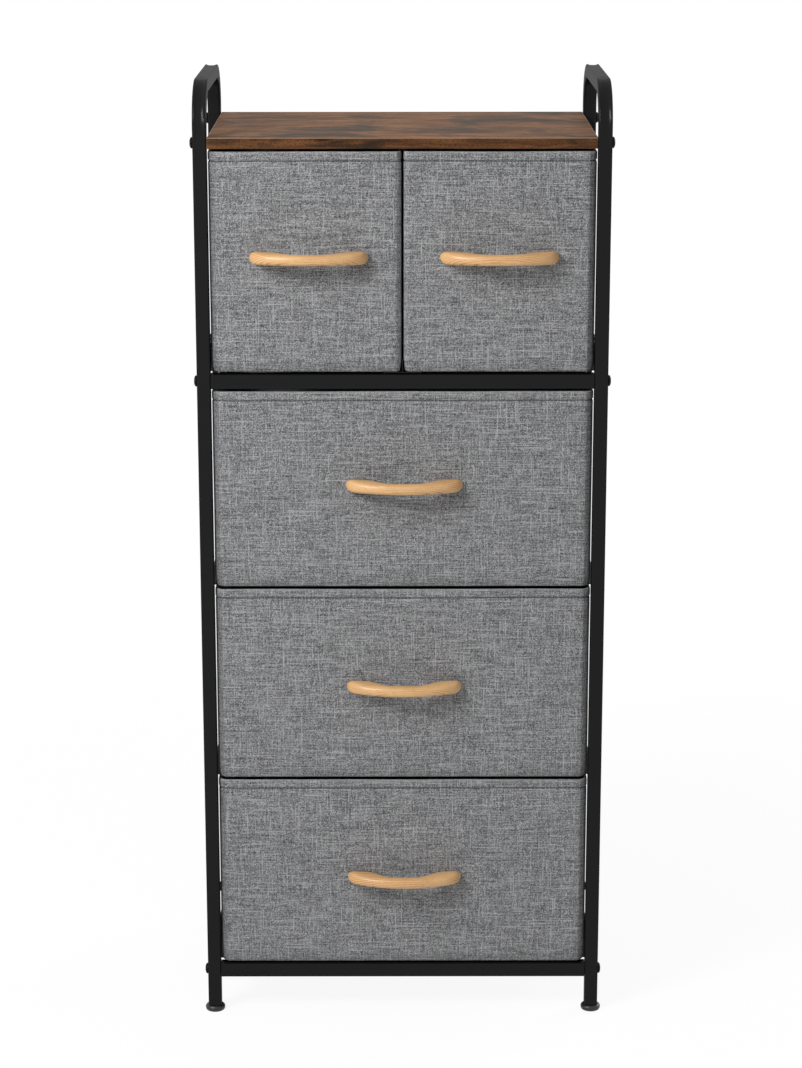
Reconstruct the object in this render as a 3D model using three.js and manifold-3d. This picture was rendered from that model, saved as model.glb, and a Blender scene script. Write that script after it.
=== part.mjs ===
// Fabric drawer dresser: two bent tube side frames, a wood-effect top board between them, cross bars,
// folded rails and five fabric drawers with wooden bow handles.
// Millimetres, +Z up. X runs along the width and the front faces -Y. The origin is on the floor,
// under the middle of the whole piece with its handles.

import * as THREE from 'three';
import { mergeVertices } from 'three/addons/utils/BufferGeometryUtils.js';
import Module from 'manifold-3d';

const wasm = await Module();
wasm.setup();

// Overall frame.
const frameWidth = 450;
const frameDepth = 270;
const loopRise = 59;

// Side frame tube, its bend and the dent that bending leaves in the outer wall.
const tubeSize = 15;
const tubeWall = 1.2;
const tubeCornerRadius = 1.8;
const bendRadius = 44;
const bendDent = 1.4;
const bendSwell = 0.4;
const bendSteps = 8;
const cornerSteps = 2;

// Cross bars.
const barHeight = 16;
const barDepth = 15;
const barWall = 1.2;
const barCornerRadius = 1.5;
const barEndPlate = 3;
const bottomBarLift = 42.5;

// Top board.
const boardThickness = 12;
const boardEdge = 0.8;

// Folded rails. The flange carries the drawer, the leg is welded between the posts.
const railSheet = 1.2;
const railFlange = 24;
const railLeg = 15;
const railInset = 8;
const railFold = 1.5;
const railStopHeight = 12;

// Centre rail on the two mid bars.
const centreRailWidth = 40;
const centreFinHeight = 14;
const centreRailSetback = 3;

// Bolts.
const boltDiameter = 6;
const boltLength = 40;
const boltHeadDiameter = 12.4;
const boltHeadHeight = 2.9;
const boltHeadRim = 0.9;
const boltSocket = 4;
const boltSocketDepth = 1.8;
const boltTip = 1;
const boltSides = 12;

// Levelling feet and the inserts they screw into.
const footDiameter = 23;
const footHeight = 7;
const footTopDiameter = 13;
const footSoleDiameter = 17;
const footStemDiameter = 6;
const footStemLength = 18;
const footSides = 18;
const footRoundSteps = 3;
const plugHeight = 22;
const plugChamfer = 1;

// Fabric drawer boxes.
const smallDrawerHeight = 240.5;
const wideDrawerHeight = 221.8;
const drawerWall = 2.5;
const drawerCornerRadius = 5;
const drawerBottomRound = 3;
const hemHeight = 9;
const hemThickness = 0.5;
const roundSteps = 3;

// Boards inside the drawers.
const frontBoardThickness = 3;
const baseBoardThickness = 3;
const frontBoardDrop = 14;

// Bow handles.
const handleLength = 129;
const handleReach = 32;
const handleGrip = 14;
const handleEndHeight = 13.2;
const handleMidHeight = 12;
const handlePad = 23;
const handleSweep = 24;
const handleEndRound = 9;
const handleBackRound = 2.5;
const handleShift = 1.8;
const handleEndFlat = 1.2;
const handleStations = 10;
const handleSides = 12;

// How far each handle is fixed above or below the middle of its drawer's front.
const upperHandleRise = 5.5;
const fourthHandleDrop = 2;
const lowestHandleDrop = 5.5;

// Clearances.
const seatGap = 0.3;
const holeClearance = 0.3;
const drawerSideGap = 5;
const drawerSplitGap = 2.4;
const drawerStopGap = 1.5;
const underRailGap = 1.4;
const overDrawerGap = 1;
const underBarGap = 2.4;
const underBoardGap = 2.6;
const boardInset = 1.5;

// Modelling aids.
const cutOverrun = 2;
const weldTolerance = 0.0001;

// Shares of the sizes they follow.
const dentShares = [-0.5, 0, 0.5];
const dentDepthShares = [0.75, 1, 0.75];
const bendRiseShare = 0.5;
const handleBowShare = 0.5;
const handleSquareShare = 0.8;
const headCrownShares = [[1, 0], [0.9, 0.52], [0.68, 0.85], [0.42, 1]];

// Heights, stacked from the floor.
const tubeFoot = footHeight + seatGap;
const bottomBarTop = bottomBarLift + barHeight;
const railStep = railSheet + seatGap;
const wideFloor5 = bottomBarTop + underRailGap + railStep;
const wideFloor4 = wideFloor5 + wideDrawerHeight + overDrawerGap + railStep;
const wideFloor3 = wideFloor4 + wideDrawerHeight + overDrawerGap + railStep;
const midBarLift = wideFloor3 + wideDrawerHeight + underBarGap;
const midBarTop = midBarLift + barHeight;
const smallFloor = midBarTop + underRailGap + railStep;
const boardLift = smallFloor + smallDrawerHeight + underBoardGap;
const boardTop = boardLift + boardThickness;
const frameHeight = boardTop + loopRise;

// Widths and depths.
const innerHalf = frameWidth / 2 - tubeSize;
const postCentre = frameWidth / 2 - tubeSize / 2;
const drawerHalf = innerHalf - drawerSideGap;
const railFront = tubeSize + seatGap;
const railBack = frameDepth - tubeSize - seatGap;
const drawerDepth = railBack - railSheet - drawerStopGap;
const barHalf = innerHalf - seatGap;
const boltHoleRadius = boltDiameter / 2 + holeClearance;
const frontPostY = tubeSize / 2;
const rearPostY = frameDepth - tubeSize / 2;
const frontBarY = barDepth / 2;
const rearBarY = frameDepth - barDepth / 2;
const handleSeatY = hemThickness - seatGap;
const frontMost = handleSeatY - handleReach;
const rearMost = rearPostY + footDiameter / 2;
const centreY = (frontMost + rearMost) / 2;

const blackMetal = { color: 0x29292b, roughness: 0.5, metalness: 0.35 };
const blackPlastic = { color: 0x1b1b1d, roughness: 0.55, metalness: 0 };
const boltBlack = { color: 0x202022, roughness: 0.4, metalness: 0.5 };
const walnut = { color: 0x6b4b38, roughness: 0.55, metalness: 0 };
const linen = { color: 0x8b8b8c, roughness: 0.95, metalness: 0 };
const greyBoard = { color: 0x8d8174, roughness: 0.9, metalness: 0 };
const beech = { color: 0xd8a56c, roughness: 0.45, metalness: 0 };

const dresser = new THREE.Group();
dresser.position.set(0, -centreY, 0);

function addMesh(parent, name, geometry, look) {
  const shaded = geometry.clone();
  shaded.computeVertexNormals();
  const mesh = new THREE.Mesh(shaded, new THREE.MeshStandardMaterial(look));
  mesh.name = name;
  parent.add(mesh);
  return mesh;
}

// Turns the triangles round where a closed surface came out inside out.
function facingOut(geometry) {
  const place = geometry.attributes.position;
  const index = geometry.index.array;
  const a = new THREE.Vector3();
  const b = new THREE.Vector3();
  const c = new THREE.Vector3();
  let volume = 0;
  for (let i = 0; i < index.length; i += 3) {
    a.fromBufferAttribute(place, index[i]);
    b.fromBufferAttribute(place, index[i + 1]);
    c.fromBufferAttribute(place, index[i + 2]);
    volume += a.dot(b.cross(c));
  }
  if (volume < 0) {
    for (let i = 0; i < index.length; i += 3) {
      const first = index[i];
      index[i] = index[i + 1];
      index[i + 1] = first;
    }
  }
  return geometry;
}

function surfaceFrom(points, triangles) {
  const geometry = new THREE.BufferGeometry().setFromPoints(points);
  geometry.setIndex(triangles);
  return facingOut(geometry);
}

// Joins ring after ring of points. The first and last ring are closed by a fan round their middle.
function loft(rings) {
  const points = rings.flat();
  const triangles = [];
  const count = rings[0].length;
  for (let r = 0; r + 1 < rings.length; r += 1) {
    for (let i = 0; i < count; i += 1) {
      const a = r * count + i;
      const b = r * count + (i + 1) % count;
      triangles.push(a, b, b + count, a, b + count, a + count);
    }
  }
  const lastRing = (rings.length - 1) * count;
  for (const [start, forwards] of [[0, false], [lastRing, true]]) {
    const ring = points.slice(start, start + count);
    const middle = new THREE.Vector3();
    ring.forEach((point) => middle.add(point));
    middle.divideScalar(count);
    points.push(middle);
    const hub = points.length - 1;
    for (let i = 0; i < count; i += 1) {
      const a = start + i;
      const b = start + (i + 1) % count;
      triangles.push(...(forwards ? [a, b, hub] : [b, a, hub]));
    }
  }
  return surfaceFrom(points, triangles);
}

// Joins an outer and an inner run of rings into a tube that is open at both ends.
function loftTube(outer, inner) {
  const count = outer[0].length;
  const loop = [...outer, ...inner.slice().reverse()];
  const triangles = [];
  for (let r = 0; r < loop.length; r += 1) {
    const here = r * count;
    const there = ((r + 1) % loop.length) * count;
    for (let i = 0; i < count; i += 1) {
      const j = (i + 1) % count;
      triangles.push(here + i, here + j, there + j, here + i, there + j, there + i);
    }
  }
  return surfaceFrom(loop.flat(), triangles);
}

function solidOf(geometry) {
  const bare = geometry.clone();
  bare.deleteAttribute('normal');
  bare.deleteAttribute('uv');
  const merged = mergeVertices(bare, weldTolerance);
  return new wasm.Manifold(new wasm.Mesh({
    numProp: 3,
    vertProperties: Float32Array.from(merged.attributes.position.array),
    triVerts: Uint32Array.from(merged.index.array),
  }));
}

function geometryOf(solid) {
  const mesh = solid.getMesh();
  const geometry = new THREE.BufferGeometry();
  geometry.setAttribute('position', new THREE.BufferAttribute(Float32Array.from(mesh.vertProperties), 3));
  geometry.setIndex([...mesh.triVerts]);
  return geometry;
}

function cut(geometry, tools) {
  let solid = solidOf(geometry);
  for (const tool of tools) {
    solid = solid.subtract(solidOf(tool));
  }
  return geometryOf(solid);
}

function joined(geometries) {
  let solid = solidOf(geometries[0]);
  for (const other of geometries.slice(1)) {
    solid = solid.add(solidOf(other));
  }
  return geometryOf(solid);
}

// A round tool along X for bolt holes.
function holeAlongX(radius, fromX, toX, y, z) {
  const hole = new THREE.CylinderGeometry(radius, radius, toX - fromX, boltSides);
  hole.rotateZ(Math.PI / 2);
  hole.translate((fromX + toX) / 2, y, z);
  return hole;
}

function blockBetween(low, high) {
  const block = new THREE.BoxGeometry(high.x - low.x, high.y - low.y, high.z - low.z);
  block.translate((low.x + high.x) / 2, (low.y + high.y) / 2, (low.z + high.z) / 2);
  return block;
}

function roundedRectangle(width, height, radius) {
  const shape = new THREE.Shape();
  const x = width / 2 - radius;
  const y = height / 2 - radius;
  shape.moveTo(-x, -height / 2);
  shape.lineTo(x, -height / 2);
  shape.absarc(x, -y, radius, -Math.PI / 2, 0, false);
  shape.absarc(x, y, radius, 0, Math.PI / 2, false);
  shape.absarc(-x, y, radius, Math.PI / 2, Math.PI, false);
  shape.absarc(-x, -y, radius, Math.PI, Math.PI * 1.5, false);
  return shape;
}

// Section of the square tube in (across, outwards), where outwards points away from the bend's centre.
// dent pulls the outer wall in and swell pushes the two side walls out.
function tubeSection(size, radius, dent, swell) {
  const half = size / 2;
  const flat = half - radius;
  const points = [];
  const corners = [[1, 1], [-1, 1], [-1, -1], [1, -1]];
  corners.forEach(([sideX, sideY], k) => {
    for (let i = 0; i <= cornerSteps; i += 1) {
      const angle = (k + i / cornerSteps) * Math.PI / 2;
      points.push(new THREE.Vector2(
        sideX * flat + radius * Math.cos(angle),
        sideY * flat + radius * Math.sin(angle),
      ));
    }
    if (k === 0) {
      dentShares.forEach((share, i) => {
        points.push(new THREE.Vector2(-share * half, half - dent * dentDepthShares[i]));
      });
    } else {
      const side = [0, [-half - swell, 0], [0, -half], [half + swell, 0]][k];
      points.push(new THREE.Vector2(side[0], side[1]));
    }
  });
  return points;
}

// Stations along the upside-down U: place of the centre line, outward direction and bend amount.
function frameStations() {
  const top = frameHeight - tubeSize / 2;
  const bendCentreZ = top - bendRadius;
  const frontCentreY = frontPostY + bendRadius;
  const rearCentreY = rearPostY - bendRadius;
  const stations = [{ y: frontPostY, z: tubeFoot, turn: Math.PI, bend: 0 }];
  for (const [centreOfBend, startTurn] of [[frontCentreY, Math.PI], [rearCentreY, Math.PI / 2]]) {
    for (let i = 0; i <= bendSteps; i += 1) {
      const turn = startTurn - (i / bendSteps) * Math.PI / 2;
      stations.push({
        y: centreOfBend + bendRadius * Math.cos(turn),
        z: bendCentreZ + bendRadius * Math.sin(turn),
        turn,
        bend: Math.sin((i / bendSteps) * Math.PI) ** bendRiseShare,
      });
    }
  }
  stations.push({ y: rearPostY, z: tubeFoot, turn: 0, bend: 0 });
  return stations;
}

function frameRings(size, radius) {
  return frameStations().map((station) => {
    const section = tubeSection(size, radius, bendDent * station.bend, bendSwell * station.bend);
    return section.map((point) => new THREE.Vector3(
      point.x,
      station.y + point.y * Math.cos(station.turn),
      station.z + point.y * Math.sin(station.turn),
    ));
  });
}

const boltHeights = {
  board: boardLift + boardThickness / 2,
  mid: midBarLift + barHeight / 2,
  bottom: bottomBarLift + barHeight / 2,
};

// Side frame: the hollow tube with a hole through both walls for each bolt.
function sideFrame() {
  const outer = frameRings(tubeSize, tubeCornerRadius);
  const innerRadius = Math.max(tubeCornerRadius - tubeWall, tubeWall / 2);
  const inner = frameRings(tubeSize - 2 * tubeWall, innerRadius);
  const tube = loftTube(outer, inner);
  const holes = [];
  for (const z of Object.values(boltHeights)) {
    for (const y of [frontPostY, rearPostY]) {
      holes.push(holeAlongX(boltHoleRadius, -tubeSize / 2 - cutOverrun, tubeSize / 2 + cutOverrun, y, z));
    }
  }
  return cut(tube, holes);
}

const sideFrameGeometry = sideFrame();
const sides = { left: -1, right: 1 };
const posts = { front: frontPostY, rear: rearPostY };
for (const [side, sign] of Object.entries(sides)) {
  addMesh(dresser, `side_frame_${side}`, sideFrameGeometry, blackMetal).position.x = sign * postCentre;
}

// Top board with eased edges and a bolt hole near each corner of its ends.
function topBoard() {
  const length = 2 * (innerHalf - seatGap);
  const outline = roundedRectangle(length - 2 * boardEdge, frameDepth - 2 * boardEdge, boardEdge);
  const slab = new THREE.ExtrudeGeometry(outline, {
    depth: boardThickness - 2 * boardEdge,
    bevelEnabled: true,
    bevelThickness: boardEdge,
    bevelSize: boardEdge,
    bevelSegments: 2,
    curveSegments: 2,
  });
  slab.translate(0, frameDepth / 2, boardLift + boardEdge);
  const holes = [];
  const reach = boltLength - tubeSize + cutOverrun;
  for (const y of Object.values(posts)) {
    for (const sign of Object.values(sides)) {
      const end = sign * (innerHalf + cutOverrun);
      const deep = sign * (innerHalf - reach);
      holes.push(holeAlongX(boltHoleRadius, Math.min(end, deep), Math.max(end, deep), y, boltHeights.board));
    }
  }
  return cut(slab, holes);
}

addMesh(dresser, 'top_board', topBoard(), walnut);

// Hollow cross bar along X with a drilled plate in each end.
function crossBar() {
  const shell = new THREE.ExtrudeGeometry(roundedRectangle(barHeight, barDepth, barCornerRadius), {
    depth: 2 * barHalf,
    bevelEnabled: false,
    curveSegments: 3,
  });
  shell.translate(0, 0, -barHalf);
  const bore = new THREE.BoxGeometry(barHeight - 2 * barWall, barDepth - 2 * barWall,
    2 * (barHalf - barEndPlate));
  for (const piece of [shell, bore]) {
    piece.rotateY(Math.PI / 2);
  }
  const hole = holeAlongX(boltHoleRadius, -barHalf - cutOverrun, barHalf + cutOverrun, 0, 0);
  return cut(shell, [bore, hole]);
}

const crossBarGeometry = crossBar();
const barPlaces = {
  bar_front_mid: [frontBarY, boltHeights.mid],
  bar_rear_mid: [rearBarY, boltHeights.mid],
  bar_front_bottom: [frontBarY, boltHeights.bottom],
  bar_rear_bottom: [rearBarY, boltHeights.bottom],
};
for (const [name, [y, z]] of Object.entries(barPlaces)) {
  addMesh(dresser, name, crossBarGeometry, blackMetal).position.set(0, y, z);
}

// Folded angle: the flange lies under the drawer, the leg stands up or hangs down between the posts.
// Its origin is at the top of the flange, at the outer face of the leg. Inwards is +X here.
function railProfile(legUp) {
  const shape = new THREE.Shape();
  const legTip = legUp ? railLeg - railSheet : -railLeg;
  const near = legUp ? -railSheet : 0;
  const far = legUp ? 0 : -railSheet;
  const inside = railFold - railSheet;
  const fold = legUp ? railFold : -railFold;
  shape.moveTo(railFold, near);
  shape.lineTo(railFlange, near);
  shape.lineTo(railFlange, far);
  shape.lineTo(railSheet + inside, far);
  shape.lineTo(railSheet, far + (legUp ? inside : -inside));
  shape.lineTo(railSheet, legTip);
  shape.lineTo(0, legTip);
  shape.lineTo(0, near + fold);
  shape.lineTo(railFold, near);
  return shape;
}

function sideRail(legUp) {
  const angle = new THREE.ExtrudeGeometry(railProfile(legUp), {
    depth: railBack - railFront,
    bevelEnabled: false,
  });
  // The profile's plane turns upright and the length runs from the rear to the front.
  angle.rotateX(Math.PI / 2);
  angle.translate(0, railBack, 0);
  const tab = blockBetween(
    new THREE.Vector3(railFold, railBack - railSheet, -railSheet / 2),
    new THREE.Vector3(railFlange, railBack, railStopHeight),
  );
  return joined([angle, tab]);
}

function mirroredX(geometry) {
  const flipped = geometry.clone();
  flipped.scale(-1, 1, 1);
  return facingOut(flipped);
}

const railShapes = { up: sideRail(true), down: sideRail(false) };
const railLevels = [
  { level: 1, z: smallFloor - seatGap, shape: railShapes.up },
  { level: 2, z: wideFloor3 - seatGap, shape: railShapes.down },
  { level: 3, z: wideFloor4 - seatGap, shape: railShapes.down },
  { level: 4, z: wideFloor5 - seatGap, shape: railShapes.up },
];
for (const { level, z, shape } of railLevels) {
  for (const [side, sign] of Object.entries(sides)) {
    const geometry = sign < 0 ? shape : mirroredX(shape);
    const rail = addMesh(dresser, `rail_${side}_${level}`, geometry, blackMetal);
    rail.position.set(sign * (frameWidth / 2 - railInset), 0, z);
  }
}

// Centre rail: a strip with turned-down edges that stand on the mid bars, a fin between the two
// small drawers and a stop tab at the rear.
function centreRail() {
  const half = centreRailWidth / 2;
  const lip = underRailGap + railSheet - seatGap;
  const outline = new THREE.Shape();
  outline.moveTo(-half, -lip);
  outline.lineTo(railSheet - half, -lip);
  outline.lineTo(railSheet - half, -railSheet);
  outline.lineTo(half - railSheet, -railSheet);
  outline.lineTo(half - railSheet, -lip);
  outline.lineTo(half, -lip);
  outline.lineTo(half, 0);
  outline.lineTo(railSheet / 2, 0);
  outline.lineTo(railSheet / 2, centreFinHeight);
  outline.lineTo(-railSheet / 2, centreFinHeight);
  outline.lineTo(-railSheet / 2, 0);
  outline.lineTo(-half, 0);
  outline.closePath();
  const strip = new THREE.ExtrudeGeometry(outline, {
    depth: frameDepth - 2 * centreRailSetback,
    bevelEnabled: false,
  });
  strip.rotateX(Math.PI / 2);
  strip.translate(0, frameDepth - centreRailSetback, 0);
  const tab = blockBetween(
    new THREE.Vector3(-half, railBack - railSheet, -railSheet / 2),
    new THREE.Vector3(half, railBack, railStopHeight),
  );
  return joined([strip, tab]);
}

addMesh(dresser, 'rail_centre', centreRail(), blackMetal).position.set(0, 0, smallFloor - seatGap);

// Bolt along +X with its domed head at the origin's outer side and a hexagon socket.
function boltShape() {
  const headRadius = boltHeadDiameter / 2;
  const shank = boltDiameter / 2;
  const profile = [new THREE.Vector2(0, -boltLength)];
  profile.push(new THREE.Vector2(shank - boltTip, -boltLength));
  profile.push(new THREE.Vector2(shank, boltTip - boltLength));
  profile.push(new THREE.Vector2(shank, 0));
  profile.push(new THREE.Vector2(headRadius, 0));
  for (const [radiusShare, heightShare] of headCrownShares) {
    const height = boltHeadRim + heightShare * (boltHeadHeight - boltHeadRim);
    profile.push(new THREE.Vector2(radiusShare * headRadius, height));
  }
  profile.push(new THREE.Vector2(0, boltHeadHeight));
  const body = new THREE.LatheGeometry(profile, boltSides);
  const socket = new THREE.CylinderGeometry(boltSocket / Math.sqrt(3), boltSocket / Math.sqrt(3),
    boltSocketDepth + cutOverrun, 6);
  socket.translate(0, boltHeadHeight - boltSocketDepth + (boltSocketDepth + cutOverrun) / 2, 0);
  const bolt = cut(body, [socket]);
  bolt.rotateZ(-Math.PI / 2);
  return bolt;
}

const boltGeometry = boltShape();
for (const [level, z] of Object.entries(boltHeights)) {
  for (const [post, y] of Object.entries(posts)) {
    for (const [side, sign] of Object.entries(sides)) {
      const bolt = addMesh(dresser, `bolt_${level}_${post}_${side}`, boltGeometry, boltBlack);
      bolt.position.set(sign * (frameWidth / 2 + seatGap), y, z);
      bolt.rotation.z = sign < 0 ? Math.PI : 0;
    }
  }
}

// Insert in the open tube end, bored for the foot's stem.
function tubePlug() {
  const width = tubeSize - 2 * tubeWall - 2 * holeClearance;
  const outline = roundedRectangle(width, width, plugChamfer);
  const bore = new THREE.Path();
  bore.absarc(0, 0, footStemDiameter / 2 + holeClearance, 0, Math.PI * 2, true);
  outline.holes.push(bore);
  const plug = new THREE.ExtrudeGeometry(outline, {
    depth: plugHeight,
    bevelEnabled: false,
    curveSegments: 4,
  });
  plug.translate(0, 0, tubeFoot);
  return plug;
}

// Round foot on a screw stem, revolved about Z.
function levellingFoot() {
  const stem = footStemDiameter / 2;
  const rim = footHeight / 2;
  const profile = [new THREE.Vector2(0, 0), new THREE.Vector2(footSoleDiameter / 2, 0)];
  for (let i = 1; i < footRoundSteps * 2; i += 1) {
    const angle = -Math.PI / 2 + (i / (footRoundSteps * 2)) * Math.PI;
    const inner = angle < 0 ? footSoleDiameter / 2 : footTopDiameter / 2;
    const radius = inner + (footDiameter / 2 - inner) * Math.cos(angle);
    profile.push(new THREE.Vector2(radius, rim + rim * Math.sin(angle)));
  }
  profile.push(new THREE.Vector2(footTopDiameter / 2, footHeight));
  profile.push(new THREE.Vector2(stem, footHeight));
  profile.push(new THREE.Vector2(stem, footHeight + footStemLength - boltTip));
  profile.push(new THREE.Vector2(stem - boltTip, footHeight + footStemLength));
  profile.push(new THREE.Vector2(0, footHeight + footStemLength));
  const foot = new THREE.LatheGeometry(profile, footSides);
  foot.rotateX(Math.PI / 2);
  return foot;
}

const plugGeometry = tubePlug();
const footGeometry = levellingFoot();
for (const [post, y] of Object.entries(posts)) {
  for (const [side, sign] of Object.entries(sides)) {
    const plug = addMesh(dresser, `plug_${post}_${side}`, plugGeometry, blackPlastic);
    const foot = addMesh(dresser, `foot_${post}_${side}`, footGeometry, blackPlastic);
    plug.position.set(sign * postCentre, y, 0);
    foot.position.set(sign * postCentre, y, 0);
  }
}

// Ring of a box with rounded upright corners, inset from its outer walls.
function boxRing(halfWidth, depth, inset, z) {
  const radius = Math.max(drawerCornerRadius - inset, drawerWall / 2);
  const x = halfWidth - inset - radius;
  const near = inset + radius;
  const far = depth - inset - radius;
  const centres = [[x, far], [-x, far], [-x, near], [x, near]];
  const ring = [];
  centres.forEach(([centreX, centreOfCorner], k) => {
    for (let i = 0; i <= roundSteps; i += 1) {
      const angle = (k + i / roundSteps) * Math.PI / 2;
      ring.push(new THREE.Vector3(
        centreX + radius * Math.cos(angle),
        centreOfCorner + radius * Math.sin(angle),
        z,
      ));
    }
  });
  return ring;
}

// Fabric box, open at the top: round bottom edge, wall, hem folded outwards round the rim, inner wall.
function fabricBox(halfWidth, height) {
  const rings = [];
  for (let i = 0; i <= roundSteps; i += 1) {
    const angle = (i / roundSteps) * Math.PI / 2;
    rings.push(boxRing(halfWidth, drawerDepth,
      hemThickness + drawerBottomRound * (1 - Math.sin(angle)), drawerBottomRound * (1 - Math.cos(angle))));
  }
  rings.push(boxRing(halfWidth, drawerDepth, hemThickness, height - hemHeight - hemThickness));
  rings.push(boxRing(halfWidth, drawerDepth, 0, height - hemHeight));
  const rimRadius = (drawerWall + hemThickness) / 2;
  for (let i = 0; i <= roundSteps; i += 1) {
    const angle = (i / roundSteps) * Math.PI;
    rings.push(boxRing(halfWidth, drawerDepth,
      rimRadius * (1 - Math.cos(angle)), height - rimRadius + rimRadius * Math.sin(angle)));
  }
  rings.push(boxRing(halfWidth, drawerDepth, drawerWall + hemThickness, drawerWall));
  return loft(rings);
}

// Pushes a sine or cosine outwards, so that a round section becomes a squarer one.
function squared(value) {
  return Math.sign(value) * Math.abs(value) ** handleSquareShare;
}

// Bow handle: a loft along X. The outer side is a half ellipse, the inner side has two flat pads
// and a sweep out to the finger gap between them. Its origin is in the middle of the pad plane.
function bowHandle() {
  const half = handleLength / 2;
  const gap = handleReach - handleGrip;
  const rings = [];
  const padStart = handleLength / 2 - handlePad;
  for (let s = 0; s <= handleStations * 2; s += 1) {
    const angle = (s / (handleStations * 2)) * Math.PI;
    const x = -Math.cos(angle) * half;
    const away = Math.abs(x);
    const bow = Math.max(0, 1 - (x / half) ** 2) ** handleBowShare;
    const outer = Math.max(handleReach * bow, handleBackRound);
    const climb = THREE.MathUtils.smootherstep(padStart - away, 0, handleSweep);
    const inner = gap * climb;
    const intoEnd = Math.max(0, away - (half - handleEndRound)) / handleEndRound;
    const endShrink = Math.sqrt(Math.max(0, 1 - intoEnd ** 2));
    const fullHeight = THREE.MathUtils.lerp(handleEndHeight, handleMidHeight, climb);
    const tall = Math.max(fullHeight * endShrink, handleEndFlat) / 2;
    const thick = (outer - inner) / 2;
    const middle = (outer + inner) / 2;
    const ring = [];
    for (let i = 0; i < handleSides; i += 1) {
      const turn = (i / handleSides) * Math.PI * 2;
      const across = squared(Math.cos(turn));
      const up = squared(Math.sin(turn));
      ring.push(new THREE.Vector3(x, -middle + thick * across, tall * up));
    }
    rings.push(ring);
  }
  return loft(rings);
}

const handleGeometry = bowHandle();

const smallHalf = (drawerHalf - drawerSplitGap / 2) / 2;
const smallX = drawerHalf - smallHalf;
const small = { half: smallHalf, height: smallDrawerHeight, floor: smallFloor, rise: upperHandleRise };
const wide = { half: drawerHalf, height: wideDrawerHeight, x: 0 };
const drawers = [
  { ...small, x: -smallX },
  { ...small, x: smallX },
  { ...wide, floor: wideFloor3, rise: upperHandleRise },
  { ...wide, floor: wideFloor4, rise: -fourthHandleDrop },
  { ...wide, floor: wideFloor5, rise: -lowestHandleDrop },
];

// Each drawer: the fabric box, a board behind its front wall, a board on its floor and the handle.
drawers.forEach(({ half, x, height, floor, rise }, i) => {
  const number = i + 1;
  const drawer = new THREE.Group();
  drawer.position.set(x, 0, floor);
  dresser.add(drawer);

  addMesh(drawer, `box_${number}`, fabricBox(half, height), linen);

  const skin = drawerWall + hemThickness + seatGap;
  const insideHalf = half - skin - boardInset;
  const boardFoot = drawerWall + seatGap;
  const frontBoard = blockBetween(
    new THREE.Vector3(-insideHalf, skin, boardFoot),
    new THREE.Vector3(insideHalf, skin + frontBoardThickness, height - frontBoardDrop),
  );
  addMesh(drawer, `front_board_${number}`, frontBoard, greyBoard);

  const baseBoard = blockBetween(
    new THREE.Vector3(-insideHalf, skin + frontBoardThickness + seatGap, boardFoot),
    new THREE.Vector3(insideHalf, drawerDepth - skin - boardInset, boardFoot + baseBoardThickness),
  );
  addMesh(drawer, `base_board_${number}`, baseBoard, greyBoard);

  const handle = addMesh(drawer, `handle_${number}`, handleGeometry, beech);
  handle.position.set(handleShift, handleSeatY, height / 2 + rise);
});

export default dresser;
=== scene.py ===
"""Fabric drawer dresser: the finishes and fine pieces, set round the frame of real parts.

Lengths are in metres, +Z is up and the drawers open towards -Y.
"""
import math

import bpy
from mathutils import Matrix, Vector, noise


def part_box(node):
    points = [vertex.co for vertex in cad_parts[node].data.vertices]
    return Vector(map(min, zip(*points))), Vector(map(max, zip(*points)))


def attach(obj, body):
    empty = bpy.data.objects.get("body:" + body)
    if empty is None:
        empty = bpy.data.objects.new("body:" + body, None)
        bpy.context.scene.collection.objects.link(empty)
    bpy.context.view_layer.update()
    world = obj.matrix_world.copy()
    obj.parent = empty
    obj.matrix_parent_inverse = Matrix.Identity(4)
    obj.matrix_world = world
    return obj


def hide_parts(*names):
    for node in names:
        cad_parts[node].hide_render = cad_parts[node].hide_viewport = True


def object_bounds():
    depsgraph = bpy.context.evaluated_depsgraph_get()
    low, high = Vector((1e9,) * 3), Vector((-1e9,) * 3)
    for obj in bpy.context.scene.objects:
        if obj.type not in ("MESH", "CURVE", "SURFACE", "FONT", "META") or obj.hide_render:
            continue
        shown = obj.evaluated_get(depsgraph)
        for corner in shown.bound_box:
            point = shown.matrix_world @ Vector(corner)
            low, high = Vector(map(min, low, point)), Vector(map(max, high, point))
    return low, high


bl_info = {
    "name": "Fabric Drawer Dresser",
    "version": (1, 0, 0),
    "blender": (4, 5, 0),
    "location": "3D View > Sidebar > Dresser",
    "description": "Builds the visible pieces and finishes of a fabric drawer dresser",
    "category": "Object",
}

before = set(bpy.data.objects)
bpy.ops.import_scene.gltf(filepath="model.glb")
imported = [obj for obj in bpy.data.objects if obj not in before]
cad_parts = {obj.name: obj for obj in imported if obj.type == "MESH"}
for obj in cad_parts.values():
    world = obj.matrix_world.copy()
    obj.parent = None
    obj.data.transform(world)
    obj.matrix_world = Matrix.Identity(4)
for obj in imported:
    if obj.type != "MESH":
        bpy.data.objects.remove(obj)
CAD_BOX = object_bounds()

SIDES = ("left", "right")
POSTS = ("front", "rear")
LEVELS = ("board", "mid", "bottom")
DRAWERS = (1, 2, 3, 4, 5)
SMALL_DRAWERS = (1, 2)
RAIL_LEVELS = (1, 2, 3, 4)


def srgb(red, green, blue):
    """Linear colour from the 0 to 255 values that a screen shows."""
    def linear(value):
        share = value / 255
        return share / 12.92 if share <= 0.04045 else ((share + 0.055) / 1.055) ** 2.4
    return (linear(red), linear(green), linear(blue))


def length(name, description, default):
    """A length that a user may change, in metres."""
    return bpy.props.FloatProperty(
        name=name, description=description, default=default, min=0.0, precision=4, unit="LENGTH"
    )


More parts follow.
